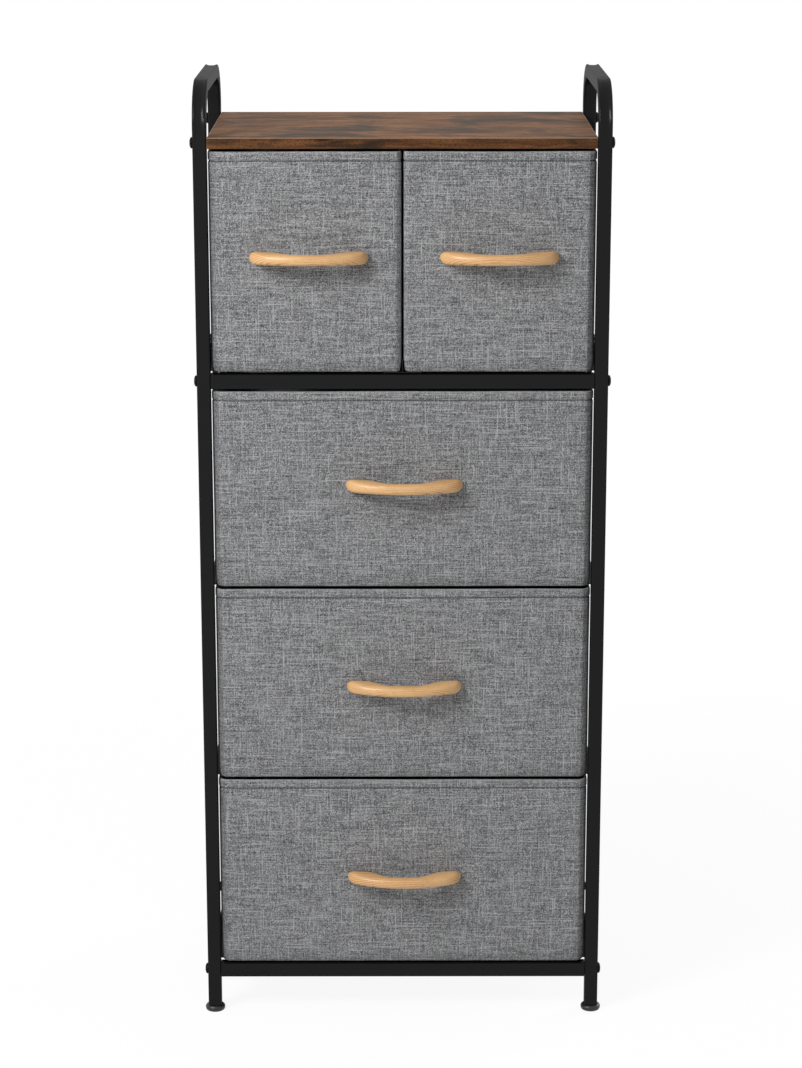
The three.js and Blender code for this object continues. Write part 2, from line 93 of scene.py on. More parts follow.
def tint(name, description, default):
    """A colour that a user may change."""
    return bpy.props.FloatVectorProperty(
        name=name, description=description, default=default, size=3, min=0.0, max=1.0, subtype="COLOR"
    )


class DresserSizes(bpy.types.PropertyGroup):
    """Sizes of the frame's tubes and fasteners."""

    tube_corner: length("Tube corner", "Radius along the square tube's edges", 0.0018)
    tube_wall: length("Tube wall", "Thickness of the tube's steel", 0.0012)
    bend_radius: length("Bend radius", "Radius of the tube's centre line in each bend", 0.044)
    bend_dent: length("Bend dent", "How far the outer wall sinks in a bend", 0.0017)
    dent_fade: length("Dent fade", "How far the dent runs on into the straight tube", 0.018)
    bend_swell: length("Bend swell", "How far the side walls swell in a bend", 0.0004)
    bolt_head: length("Bolt head", "Diameter of each domed bolt head", 0.0124)
    bolt_hole: length("Bolt hole", "Diameter of each bolt hole", 0.0066)
    bead: length("Weld bead", "Width of the weld beads on the rails", 0.0026)
    bead_pitch: length("Bead pitch", "Distance from one ripple of a bead to the next", 0.0012)
    rail_leg: length("Rail leg", "Height of the rails' upright legs", 0.015)


class ClothSizes(bpy.types.PropertyGroup):
    """Sizes of the fabric drawers."""

    wall: length("Wall", "Thickness of the padded fabric wall", 0.003)
    corner: length("Corner", "Size of the box's upright corners", 0.0085)
    split_corner: length("Split corner", "Size of the corners beside the gap of the small drawers", 0.0055)
    foot_round: length("Foot round", "Radius of the fold under the walls", 0.0017)
    tuck: length("Foot tuck", "How far the walls draw in at the foot", 0.0018)
    tuck_height: length("Tuck height", "Height over which the walls draw in", 0.016)
    hem: length("Hem", "Height of the hem at the rim", 0.0101)
    inner_hem: length("Inner hem", "Height of the hem inside the box", 0.016)
    slack: length("Slack", "How far the cloth waves in and out", 0.0007)
    split_swell: length("Split swell", "How far the small drawers swell towards each other", 0.001)
    split_swing: length("Split swing", "How far their facing walls wave to the left and right", 0.0007)
    split_wave: length("Split wave", "Height of one such wave", 0.04)
    side_swell: length("Side swell", "How far the other side walls stand out", 0.0042)
    rear_swell: length("Rear swell", "How far the rear wall swells out", 0.0006)
    pad_press: length("Pad press", "How deep the handle's pads press into the cloth", 0.0005)
    stitch: length("Stitch", "Length of one stitch", 0.0032)
    stitch_pitch: length("Stitch pitch", "Distance from one stitch to the next", 0.0041)
    thread: length("Thread", "Thickness of the sewing thread", 0.0009)


class HandleSizes(bpy.types.PropertyGroup):
    """Sizes of the wooden bow handles and their screws."""

    grip: length("Grip", "Thickness of the bow from front to back", 0.014)
    pad: length("Pad", "Length of each flat pad", 0.0205)
    sweep: length("Sweep", "Length over which the inner side leaves the pad", 0.03)
    end_height: length("End height", "Height of the thick ends", 0.0138)
    mid_height: length("Middle height", "Height of the slim middle", 0.0119)
    end_round: length("End round", "Length of the rounded ends", 0.0084)
    end_lift: length("End lift", "How far the thick ends sit above the middle of their place", 0.0009)
    mid_lift: length("Middle lift", "How far the slim middle sits above the middle of its place", 0.001)
    screw_spacing: length("Screw spacing", "Distance between the two screws", 0.096)
    screw_head: length("Screw head", "Diameter of a screw head", 0.0075)
    washer: length("Washer", "Diameter of a washer", 0.0105)


class DresserColours(bpy.types.PropertyGroup):
    """Colours of the finishes."""

    paint: tint("Black paint", "Satin powder coat of the steel", srgb(23, 23, 24))
    plastic: tint("Black plastic", "Feet and tube inserts", srgb(20, 20, 21))
    bolt: tint("Bolt black", "Coating of the bolts", srgb(18, 18, 19))
    wood_light: tint("Walnut light", "Light streaks of the top board", srgb(144, 101, 66))
    wood_dark: tint("Walnut dark", "Dark streaks of the top board", srgb(66, 44, 29))
    wood_grey: tint("Walnut grey", "Smoky patches of the top board", srgb(57, 47, 39))
    # Painted highlight colour of the top board's upper edges.
    wood_edge_highlight: tint("Walnut edge", "Worn edges of the top board", srgb(170, 136, 110))
    linen_light: tint("Linen light", "Light yarns of the drawers", srgb(172, 173, 174))
    linen_dark: tint("Linen dark", "Dark yarns of the drawers", srgb(61, 61, 63))
    lining: tint("Lining", "Non-woven lining", srgb(118, 118, 120))
    thread: tint("Thread", "Sewing thread", srgb(40, 40, 42))
    beech_light: tint("Beech light", "Light wood of the handles", srgb(216, 173, 121))
    beech_dark: tint("Beech dark", "Grain lines of the handles", srgb(166, 101, 50))
    steel: tint("Steel", "Zinc plated screws and washers", srgb(186, 186, 184))


def smooth_step(share):
    """From 0 to 1 with a soft start and end."""
    share = min(max(share, 0.0), 1.0)
    return share * share * (3 - 2 * share)


def loft(rings, zones=None, wrap=False, cap=True):
    """Points and faces that join ring after ring. zones gives a material index for each band."""
    count = len(rings[0])
    points = [point for ring in rings for point in ring]
    faces = []
    marks = []
    bands = len(rings) if wrap else len(rings) - 1
    for band in range(bands):
        here = band * count
        there = (band + 1) % len(rings) * count
        for i in range(count):
            beside = (i + 1) % count
            faces.append((here + i, here + beside, there + beside, there + i))
            marks.append(zones[band] if zones else 0)
    if cap and not wrap:
        last = (len(rings) - 1) * count
        faces.append(tuple(reversed(range(count))))
        marks.append(zones[0] if zones else 0)
        faces.append(tuple(range(last, last + count)))
        marks.append(zones[-1] if zones else 0)
    return points, faces, marks


def linked(name, data):
    """A new object in the scene."""
    made = bpy.data.objects.new(name, data)
    bpy.context.scene.collection.objects.link(made)
    return made


CREASE = math.radians(40)
CLOTH_CREASE = math.radians(60)
HANDLE_CREASE = math.radians(70)


def mesh_piece(name, shape, materials, crease=CREASE):
    """A mesh object at the origin, its normals facing out, smooth but for edges over the crease angle."""
    points, faces, marks = shape
    mesh = bpy.data.meshes.new(name)
    mesh.from_pydata(points, [], faces)
    for material in materials:
        mesh.materials.append(material)
    mesh.polygons.foreach_set("material_index", marks)
    mesh.polygons.foreach_set("use_smooth", [True] * len(faces))
    volume = 0.0
    for face in mesh.polygons:
        corners = [mesh.vertices[i].co for i in face.vertices]
        for second, third in zip(corners[1:], corners[2:]):
            volume += corners[0].dot(second.cross(third))
    if volume < 0:
        mesh.flip_normals()
    mesh.set_sharp_from_angle(angle=crease)
    mesh.update()
    return linked(name, mesh)


def joined_shapes(shapes):
    """Several shapes as one."""
    points = []
    faces = []
    marks = []
    for shape_points, shape_faces, shape_marks in shapes:
        start = len(points)
        points += shape_points
        faces += [tuple(start + i for i in face) for face in shape_faces]
        marks += shape_marks
    return points, faces, marks


def placed(shape, matrix):
    """A shape moved by a matrix."""
    points, faces, marks = shape
    return [matrix @ point for point in points], faces, marks


AXIS_TO_X = Matrix.Rotation(math.pi / 2, 4, "Y")


def revolve(profile, steps):
    """A closed solid turned about Z. The profile runs from the axis at one end to the axis at the other."""
    angles = [2 * math.pi * i / steps for i in range(steps)]
    rings = [
        [Vector((radius * math.cos(angle), radius * math.sin(angle), height)) for angle in angles]
        for radius, height in profile[1:-1]
    ]
    points, faces, marks = loft(rings, cap=False)
    for ring, (_, height), forwards in ((0, profile[0], False), (len(rings) - 1, profile[-1], True)):
        hub = len(points)
        points.append(Vector((0, 0, height)))
        for i in range(steps):
            here = ring * steps + i
            beside = ring * steps + (i + 1) % steps
            faces.append((here, beside, hub) if forwards else (beside, here, hub))
            marks.append(0)
    return points, faces, marks


def baked(piece, name):
    """The piece with its modifiers applied, as a plain mesh under a new name."""
    graph = bpy.context.evaluated_depsgraph_get()
    mesh = bpy.data.meshes.new_from_object(piece.evaluated_get(graph), depsgraph=graph)
    mesh.name = name
    bpy.data.objects.remove(piece)
    return linked(name, mesh)


def dress(piece, body, slot, *nodes):
    """The piece rides on its body and stands for the named nodes, which it hides; the slot is not used."""
    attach(piece, body)
    if nodes:
        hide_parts(*nodes)
    return piece


class Nodes:
    """Short ways to add nodes to a tree. An input takes a socket, a number, a colour or a vector."""

    def __init__(self, tree):
        self.tree = tree

    def add(self, kind, inputs=None, **settings):
        """A new node with its settings and inputs."""
        made = self.tree.nodes.new(kind)
        for key, value in settings.items():
            setattr(made, key, value)
        for key, value in (inputs or {}).items():
            self.feed(made.inputs[key], value)
        return made

    def feed(self, target, value):
        """Links a socket to an input, or gives the input a value of its own."""
        if isinstance(value, bpy.types.NodeSocket):
            self.tree.links.new(value, target)
        elif target.type == "RGBA":
            target.default_value = (*value[:3], 1)
        else:
            target.default_value = value

    def math(self, operation, first, second=0.0):
        """A number worked out from one or two others."""
        return self.add("ShaderNodeMath", {0: first, 1: second}, operation=operation).outputs["Value"]

    def total(self, *parts):
        """The sum of (socket, weight) pairs."""
        result = 0.0
        for value, weight in parts:
            result = self.math("ADD", self.math("MULTIPLY", value, weight), result)
        return result

    def between(self, value, low, high):
        """Maps 0 to 1 onto low to high."""
        made = self.add("ShaderNodeMapRange", {"Value": value, "To Min": low, "To Max": high})
        return made.outputs["Result"]

    def mix(self, share, first, second, blend="MIX"):
        """A mix of two colours."""
        inputs = {0: share, 6: first, 7: second}
        return self.add("ShaderNodeMix", inputs, data_type="RGBA", blend_type=blend).outputs[2]

    def times(self, first, second):
        """The product of two colours."""
        return self.mix(1.0, first, second, "MULTIPLY")

    def ramp(self, value, *stops):
        """A colour ramp of (position, colour) stops. A number in place of a colour is a grey."""
        made = self.add("ShaderNodeValToRGB", {"Fac": value})
        elements = made.color_ramp.elements
        while len(elements) < len(stops):
            elements.new(0.5)
        for element, (position, colour) in zip(elements, stops):
            if isinstance(colour, (int, float)):
                colour = (colour, colour, colour)
            element.position = position
            element.color = (*colour, 1)
        return made.outputs["Color"]


class Finish(Nodes):
    """A node material over the object's coordinates, or over the flat ones of cloth."""

    def __init__(self, name, colour, values, cloth=False):
        self.material = bpy.data.materials.new(name)
        self.material.use_nodes = True
        super().__init__(self.material.node_tree)
        self.shader = self.tree.nodes["Principled BSDF"]
        self.shade({"Base Color": colour, **values})
        if cloth:
            self.place = self.add("ShaderNodeUVMap", uv_map="cloth").outputs["UV"]
        else:
            self.place = self.add("ShaderNodeTexCoord").outputs["Object"]

    def shade(self, values):
        """Feeds the shader's inputs."""
        for key, value in values.items():
            self.feed(self.shader.inputs[key], value)

    def scaled(self, scale, turn=(0, 0, 0)):
        """The coordinates times a scale in 1/m, one for all axes or one for each, and then turned."""
        scale = scale if isinstance(scale, tuple) else (scale, scale, scale)
        made = self.add("ShaderNodeMapping", {"Vector": self.place, "Scale": scale, "Rotation": turn})
        return made.outputs["Vector"]

    def noise(self, scale, detail=2.0, roughness=0.5, distortion=0.0, turn=(0, 0, 0)):
        """Noise from 0 to 1."""
        return self.add("ShaderNodeTexNoise", {
            "Vector": self.scaled(scale, turn), "Scale": 1.0, "Detail": detail, "Roughness": roughness,
            "Distortion": distortion,
        }).outputs["Fac"]

    def cells(self, scale, turn, randomness=1.0, **settings):
        """Outputs of a Voronoi texture: a random colour for each cell, the distance from its middle."""
        return self.add("ShaderNodeTexVoronoi", {
            "Vector": self.scaled(scale, turn), "Scale": 1.0, "Randomness": randomness,
        }, **settings).outputs

    def bump(self, height, strength, distance):
        """A fine relief."""
        made = self.add("ShaderNodeBump", {"Height": height, "Strength": strength, "Distance": distance})
        self.shade({"Normal": made.outputs["Normal"]})

    def rough(self, value, low, high):
        """Roughness that goes from low to high as the value goes from 0 to 1."""
        self.shade({"Roughness": self.between(value, low, high)})


COAT_SPREAD = 0.06
GRAIN_SPREAD = 0.08


def powder_coat(name, colour, roughness):
    """Satin black coating with a fine orange-peel surface."""
    coat = Finish(name, colour, {
        "Specular IOR Level": 0.0, "Coat Weight": 0.2, "Coat IOR": 1.5, "Coat Roughness": 0.22,
    })
    coat.rough(coat.noise(18, 3.0), roughness - COAT_SPREAD, roughness + COAT_SPREAD)
    coat.bump(coat.noise(900, 1.0), 0.12, 0.0002)
    return coat.material


def plain_finish(name, colour, roughness, metallic, grain):
    """A finish with a fine grain in its roughness and surface."""
    finish = Finish(name, colour, {"Metallic": metallic})
    speck = finish.noise(grain)
    finish.rough(speck, roughness - GRAIN_SPREAD, roughness + GRAIN_SPREAD)
    finish.bump(speck, 0.15, 0.0001)
    return finish.material


# The width of the upright faces' painted shade over the edge band, and the width and strength of the
# painted highlight along the upper edges.
SHADED_BAND_WIDTH = 0.0003
EDGE_HIGHLIGHT_WIDTH = 0.001
EDGE_HIGHLIGHT_SHARE = 0.55


def walnut(colours, low, high):
    """Rustic walnut foil: streaks along X, smoky patches, short cracks, painted shade over the edge band's
    grain and a painted highlight along the upper edges.
    """
    foil = Finish("walnut_foil", colours.wood_light, {"Specular IOR Level": 0.12})
    streaks = foil.noise((10, 95, 130), 6.0, 0.7, 0.6)
    smoke = foil.noise((10, 15, 40), 4.0, 0.62, 0.5)
    cracks = foil.noise((30, 230, 230))
    pores = foil.noise((140, 800, 800), 2.0, 0.7)
    mottle = foil.noise((380, 380, 1100), 3.0, 0.75)
    middle = [(dark + light) / 2 for dark, light in zip(colours.wood_dark, colours.wood_light)]
    wood = foil.ramp(streaks, (0.34, colours.wood_dark), (0.48, middle), (0.60, colours.wood_light))
    wood = foil.mix(foil.ramp(smoke, (0.47, 0), (0.60, 0.92)), wood, colours.wood_grey)
    wood = foil.times(wood, foil.ramp(cracks, (0.28, 0.35), (0.37, 1)))
    # The upright faces: the edge band's fine mottled grain, darkened as painted shade.
    band = foil.times(wood, foil.ramp(mottle, (0.36, (0.22, 0.2, 0.17)), (0.62, (0.7, 0.62, 0.55))))
    wood = foil.times(wood, foil.ramp(pores, (0.35, 0.66), (0.58, 1.12)))
    wood = foil.mix(edge_mask(foil, low, high, SHADED_BAND_WIDTH, False), wood, band)
    # A painted highlight along the upper edges of the top.
    edge_highlight = foil.math("MULTIPLY", edge_mask(foil, low, high, EDGE_HIGHLIGHT_WIDTH, True), EDGE_HIGHLIGHT_SHARE)
    foil.shade({"Base Color": foil.mix(edge_highlight, wood, colours.wood_edge_highlight)})
    foil.rough(pores, 0.74, 0.54)
    foil.bump(pores, 0.2, 0.0002)
    return foil.material


def edge_mask(foil, low, high, width, top_only):
    """1 on the upright faces of a box, or only on the part of them and of its top along the upper edges."""
    split = foil.add("ShaderNodeSeparateXYZ", {"Vector": foil.place}).outputs
    near = []
    for axis, name in enumerate("XY"):
        away = foil.math("ABSOLUTE", foil.math("SUBTRACT", split[name], (low[axis] + high[axis]) / 2))
        near.append(foil.math("GREATER_THAN", away, (high[axis] - low[axis]) / 2 - width))
    across = foil.math("MAXIMUM", *near)
    if not top_only:
        return across
    return foil.math("MULTIPLY", across, foil.math("GREATER_THAN", split["Z"], high.z - width))


YARN_SLANT = (0.6, 0.4, 0.5)
PATCH_SLANT = (0, 0, 0.45)
RIB_SCALE = 210
# Strengths of the painted highlight and the painted shade that the fold attribute carries.
PAINTED_HIGHLIGHT_SHARE = 0.22
PAINTED_SHADE_SHARE = 0.35


def linen(colours):
    """Heathered plain weave on the cloth's flat coordinates, with a painted highlight where the fold
    attribute is above zero and painted shade where it is below.

    The textures are turned against the yarns, so that their grid makes no pattern with the picture's.
    """
    dark = colours.linen_dark
    light = colours.linen_light
    cloth = Finish("linen_weave", light, {
        "Roughness": 0.95, "Specular IOR Level": 0.12, "Sheen Weight": 0.08, "Sheen Roughness": 0.6,
    }, cloth=True)
    warp = cloth.noise((1200, 70, 1), 0.0, turn=YARN_SLANT)
    weft = cloth.noise((40, 1200, 1), 0.0, turn=YARN_SLANT)
    speck = cloth.noise((1250, 1250, 1), 0.0, turn=YARN_SLANT)
    cloud = cloth.noise((38, 30, 1), 3.0)
    yarns = cloth.total((warp, 0.2), (weft, 0.36), (speck, 0.42), (cloud, 0.02))
    upright = cloth.cells((1350, 850, 1), PATCH_SLANT, voronoi_dimensions="2D")["Color"]
    level = cloth.cells((850, 1350, 1), PATCH_SLANT, voronoi_dimensions="2D")["Color"]
    heather = cloth.total((yarns, 0.56), (upright, 0.22), (level, 0.22))
    middle = [((low ** 0.5 + high ** 0.5) / 2) ** 2 for low, high in zip(dark, light)]
    colour = cloth.ramp(heather, (0.343, dark), (0.5, middle), (0.657, light))
    for scale in ((1100, 30, 1), (24, 1100, 1)):
        slub = cloth.noise(scale, 0.0, turn=YARN_SLANT)
        colour = cloth.mix(cloth.ramp(slub, (0.70, 0), (0.76, 0.7)), colour, light)
        colour = cloth.mix(cloth.ramp(slub, (0.24, 0.4), (0.30, 0)), colour, dark)
    # Painted highlight towards the light yarn where the fold attribute is above zero, painted shade towards
    # the dark yarn where it is below.
    fold = cloth.add("ShaderNodeAttribute", attribute_name="fold").outputs["Fac"]
    for side, share, yarn in (("MAXIMUM", PAINTED_HIGHLIGHT_SHARE, light), ("MINIMUM", -PAINTED_SHADE_SHARE, dark)):
        colour = cloth.mix(cloth.math("MULTIPLY", cloth.math(side, fold, 0.0), share), colour, yarn)
    rib_place = {"Vector": cloth.scaled((RIB_SCALE, RIB_SCALE, 1)), "Scale": 1.0}
    ribs = [cloth.add("ShaderNodeTexWave", rib_place, bands_direction=way) for way in "XY"]
    weave = cloth.math("MULTIPLY", *(rib.outputs["Fac"] for rib in ribs))
    cloth.shade({"Base Color": colour})
    cloth.bump(cloth.total((yarns, 1.0), (weave, 0.12)), 0.5, 0.0012)
    return cloth.material


def lining(colours):
    """Non-woven lining with small pressed dots."""
    felt = Finish("non_woven_lining", colours.lining, {
        "Roughness": 0.9, "Specular IOR Level": 0.2,
    }, cloth=True)
    low = [0.72 * value for value in colours.lining]
    high = [1.15 * value for value in colours.lining]
    fibres = felt.ramp(felt.noise((500, 700, 1), 3.0, 0.7), (0.3, low), (0.7, high))
    dots = felt.cells((420, 420, 1), (0, 0, math.radians(45)), 0.0)["Distance"]
    pressed = felt.ramp(dots, (0.16, 0), (0.3, 1))
    felt.shade({"Base Color": felt.mix(pressed, low, fibres)})
    felt.bump(pressed, 0.3, 0.0003)
    return felt.material


RINGS_IN_METRE = 380
RING_SLANT = -0.62
RING_WANDER = 0.006


def beech(colours):
    """Beech with growth rings that the bow's curve cuts at a slant."""
    dark = colours.beech_dark
    light = colours.beech_light
    wood = Finish("beech_lacquer", light, {
        "Roughness": 0.42, "Specular IOR Level": 0.4, "Coat Weight": 0.1, "Coat Roughness": 0.25,
    })
    split = wood.add("ShaderNodeSeparateXYZ", {"Vector": wood.place}).outputs
    across = wood.math("SUBTRACT", split["Z"], wood.math("MULTIPLY", split["Y"], RING_SLANT))
    across = wood.math("ADD", across, wood.math("MULTIPLY", wood.noise((9, 30, 40)), RING_WANDER))
    ring = wood.math("FRACT", wood.math("MULTIPLY", across, RINGS_IN_METRE))
    rings = wood.ramp(ring, (0.0, dark), (0.22, light), (0.75, light), (1.0, dark))
    patches = wood.ramp(wood.noise((28, 60, 90)), (0.36, 0), (0.6, 0.85))
    flecks = wood.noise((160, 1400, 1400))
    fine = wood.ramp(flecks, (0.36, (0.86, 0.82, 0.78)), (0.5, 1))
    wood.shade({"Base Color": wood.times(wood.mix(patches, light, rings), fine)})
    wood.bump(flecks, 0.1, 0.0002)
    return wood.material


MATERIALS = {}


class DRESSER_OT_finishes(bpy.types.Operator):
    """Make the paint, wood, cloth, plastic and steel finishes"""

    bl_idname = "dresser.finishes"
    bl_label = "Finishes"

    def execute(self, context):
        colours = context.scene.dresser_colours
        MATERIALS["paint"] = powder_coat("black_powder_coat", colours.paint, 0.38)
        MATERIALS["bolt"] = powder_coat("black_bolt_coat", colours.bolt, 0.36)
        MATERIALS["plastic"] = plain_finish("black_plastic", colours.plastic, 0.42, 0.0, 700)
        MATERIALS["walnut"] = walnut(colours, *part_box("top_board"))
        MATERIALS["linen"] = linen(colours)
        MATERIALS["lining"] = lining(colours)
        MATERIALS["thread"] = plain_finish("sewing_thread", colours.thread, 0.7, 0.0, 3000)
        MATERIALS["beech"] = beech(colours)
        MATERIALS["steel"] = plain_finish("zinc_plated_steel", colours.steel, 0.36, 1.0, 1500)
        return {"FINISHED"}


CORNER_STEPS = 6
WALL_STEPS = 8
BEND_STEPS = 36
FADE_STEPS = 6
FADE_SHARE = 0.6
DENT_SQUARENESS = 4
DRILL_SIDES = 24


def tube_section(half, radius, dent, swell):
    """Section of a square tube as (across, outward) pairs, dented outside and swollen at the sides."""
    flat = half - radius
    points = []
    for corner, (across, outward) in enumerate(((1, 1), (-1, 1), (-1, -1), (1, -1))):
        for i in range(CORNER_STEPS + 1):
            angle = (corner + i / CORNER_STEPS) * math.pi / 2
            points.append((
                across * flat + radius * math.cos(angle),
                outward * flat + radius * math.sin(angle),
            ))
        for i in range(1, WALL_STEPS):
            along = 1 - 2 * i / WALL_STEPS
            sink = 1 - along ** DENT_SQUARENESS
            points.append((
                (along * flat, half - dent * sink),
                (-half - swell * sink, along * flat),
                (-along * flat, -half),
                (half + swell * sink, -along * flat),
            )[corner])
    return points


def tube_rings(low, high, half, radius, sizes):
    """Rings along the upside-down U of a side frame whose outer box runs from low to high."""
    centre_x = (low.x + high.x) / 2
    post_half = (high.x - low.x) / 2 - sizes.bend_swell
    front = low.y + post_half
    rear = high.y - post_half
    bend = sizes.bend_radius
    bend_z = high.z - post_half - bend
    stations = [(front, low.z, math.pi, 0.0)]
    for centre_y, start in ((front + bend, math.pi), (rear - bend, math.pi / 2)):
        arc = []
        for i in range(BEND_STEPS + 1):
            share = i / BEND_STEPS
            turn = start - share * math.pi / 2
            amount = FADE_SHARE + (1 - FADE_SHARE) * math.sin(share * math.pi)
            arc.append((centre_y + bend * math.cos(turn), bend_z + bend * math.sin(turn), turn, amount))
        for (y, z, turn, _), way in ((arc[0], -1), (arc[-1], 1)):
            run = []
            for i in range(1, FADE_STEPS + 1):
                share = i / FADE_STEPS
                away = way * share * sizes.dent_fade
                amount = FADE_SHARE * (1 + math.cos(share * math.pi)) / 2
                run.append((y + away * math.sin(turn), z - away * math.cos(turn), turn, amount))
            arc = run[::-1] + arc if way < 0 else arc + run
        stations += arc
    stations.append((rear, low.z, 0.0, 0.0))
    rings = []
    for y, z, turn, amount in stations:
        section = tube_section(half, radius, sizes.bend_dent * amount, sizes.bend_swell * amount)
        rings.append([
            Vector((centre_x + across, y + outward * math.cos(turn), z + outward * math.sin(turn)))
            for across, outward in section
        ])
    return rings


class DRESSER_OT_side_frames(bpy.types.Operator):
    """Build the two bent tube side frames with their bolt holes"""

    bl_idname = "dresser.side_frames"
    bl_label = "Side frames"

    def execute(self, context):
        sizes = context.scene.dresser_sizes
        for side in SIDES:
            low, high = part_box(f"side_frame_{side}")
            half = (high.x - low.x) / 2 - sizes.bend_swell
            outer = tube_rings(low, high, half, sizes.tube_corner, sizes)
            inner_radius = max(sizes.tube_corner - sizes.tube_wall, sizes.tube_wall / 2)
            inner = tube_rings(low, high, half - sizes.tube_wall, inner_radius, sizes)
            tube = mesh_piece("tube", loft(outer + inner[::-1], wrap=True), [MATERIALS["paint"]])
            drill = self.drill(side, (low.x + high.x) / 2, half, sizes)
            cut = tube.modifiers.new("holes", "BOOLEAN")
            cut.operation = "DIFFERENCE"
            cut.object = drill
            cut.solver = "EXACT"
            piece = baked(tube, f"tube_frame_{side}")
            bpy.data.objects.remove(drill)
            dress(piece, "frame", "frame_black", f"side_frame_{side}")
        return {"FINISHED"}

    def drill(self, side, centre_x, half, sizes):
        """Round tools through the tube at each bolt."""
        reach = 2 * half
        radius = sizes.bolt_hole / 2
        rod = revolve(((0, -reach), (radius, -reach), (radius, reach), (0, reach)), DRILL_SIDES)
        tools = []
        for level in LEVELS:
            for post in POSTS:
                low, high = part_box(f"bolt_{level}_{post}_{side}")
                place = Matrix.Translation((centre_x, (low.y + high.y) / 2, (low.z + high.z) / 2))
                tools.append(placed(rod, place @ AXIS_TO_X))
        return mesh_piece("drill", joined_shapes(tools), [])


WELD_REACH = 0.00001
EASED_WIDTH = 0.0002
EASED_ANGLE = math.radians(40)


def join_triangles(node):
    """Joins the loose triangles of a CAD node."""
    weld = node.modifiers.new("weld", "WELD")
    weld.merge_threshold = WELD_REACH


class DRESSER_OT_bars_and_rails(bpy.types.Operator):
    """Finish the cross bars, rails and tube inserts"""

    bl_idname = "dresser.bars_and_rails"
    bl_label = "Bars and rails"

    def execute(self, context):
        for name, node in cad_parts.items():
            if name.startswith(("bar_", "rail_")):
                self.soften(node, "paint")
            if name.startswith("plug_"):
                self.soften(node, "plastic")
        return {"FINISHED"}

    def soften(self, node, finish):
        """Eases the edges and sets the finish."""
        join_triangles(node)
        bevel = node.modifiers.new("eased_edges", "BEVEL")
        bevel.width = EASED_WIDTH
        bevel.segments = 2
        bevel.limit_method = "ANGLE"
        bevel.angle_limit = EASED_ANGLE
        node.data.materials.clear()
        node.data.materials.append(MATERIALS[finish])


RIPPLE_STEPS = 6
RIPPLE_SIDES = 10
RIPPLE_FLATNESS = 2 / 3


class DRESSER_OT_rail_welds(bpy.types.Operator):
    """Lay a rippled weld bead where each rail meets its two posts"""

    bl_idname = "dresser.rail_welds"
    bl_label = "Rail welds"

    def execute(self, context):
        sizes = context.scene.dresser_sizes
        ripples = int((sizes.rail_leg - sizes.bead) / sizes.bead_pitch) + 1
        places = []
        for side in SIDES:
            for level in RAIL_LEVELS:
                low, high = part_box(f"rail_{side}_{level}")
                outer = low.x if side == "left" else high.x
                for end in (low.y, high.y):
                    for i in range(ripples):
                        rise = sizes.bead / 2 + i * sizes.bead_pitch
                        places.append(Vector((outer, end, low.z + rise)))
        facings = [Vector((0, 0, 1))] * len(places)
        piece = repeated("rail_welds", self.ripple(sizes.bead / 2), places, facings, MATERIALS["paint"])
        dress(piece, "frame", "frame_black")
        return {"FINISHED"}

    def ripple(self, radius):
        """One ripple of a bead: a flattened drop whose axis is X."""
        flat = RIPPLE_FLATNESS * radius
        angles = [math.pi * i / RIPPLE_STEPS for i in range(RIPPLE_STEPS + 1)]
        profile = [(radius * math.sin(angle), -flat * math.cos(angle)) for angle in angles]
        return placed(revolve(profile, RIPPLE_SIDES), AXIS_TO_X)


class DRESSER_OT_top_board(bpy.types.Operator):
    """Finish the top board in walnut foil"""

    bl_idname = "dresser.top_board"
    bl_label = "Top board"

    def execute(self, context):
        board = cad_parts["top_board"]
        join_triangles(board)
        board.data.materials.clear()
        board.data.materials.append(MATERIALS["walnut"])
        return {"FINISHED"}


def new_tree(name, inputs):
    """A geometry node group with the given inputs: its nodes and the sockets that its inputs arrive at."""
    tree = bpy.data.node_groups.new(name, "GeometryNodeTree")
    tree.interface.new_socket("Geometry", in_out="OUTPUT", socket_type="NodeSocketGeometry")
    for label, kind in inputs.items():
        tree.interface.new_socket(label, in_out="INPUT", socket_type=f"NodeSocket{kind}")
    return Nodes(tree), tree.nodes.new("NodeGroupInput").outputs


def end_tree(nodes, instances, finish):
    """Makes the instances real, sets their finish and hands them out."""
    real = nodes.add("GeometryNodeRealizeInstances", {"Geometry": instances.outputs["Instances"]})
    mesh = nodes.add("GeometryNodeSetMaterial", {"Geometry": real.outputs["Geometry"], "Material": finish})
    nodes.add("NodeGroupOutput", {"Geometry": mesh.outputs["Geometry"]})
    return nodes.tree


def repeat_tree(name):
    """Geometry nodes that set one object on every point, turned to the point's facing."""
    nodes, given = new_tree(name, {"Places": "Geometry", "Piece": "Object", "Finish": "Material"})
    facing = nodes.add("GeometryNodeInputNamedAttribute", {"Name": "facing"}, data_type="FLOAT_VECTOR")
    turn = nodes.add("FunctionNodeAlignRotationToVector", {"Vector": facing.outputs["Attribute"]}, axis="X")
    piece = nodes.add("GeometryNodeObjectInfo", {"Object": given["Piece"]})
    instances = nodes.add("GeometryNodeInstanceOnPoints", {
        "Points": given["Places"], "Instance": piece.outputs["Geometry"],
        "Rotation": turn.outputs["Rotation"],
    })
    return end_tree(nodes, instances, given["Finish"])


STITCH_SIDES = 6
STITCH_RINGS = 5


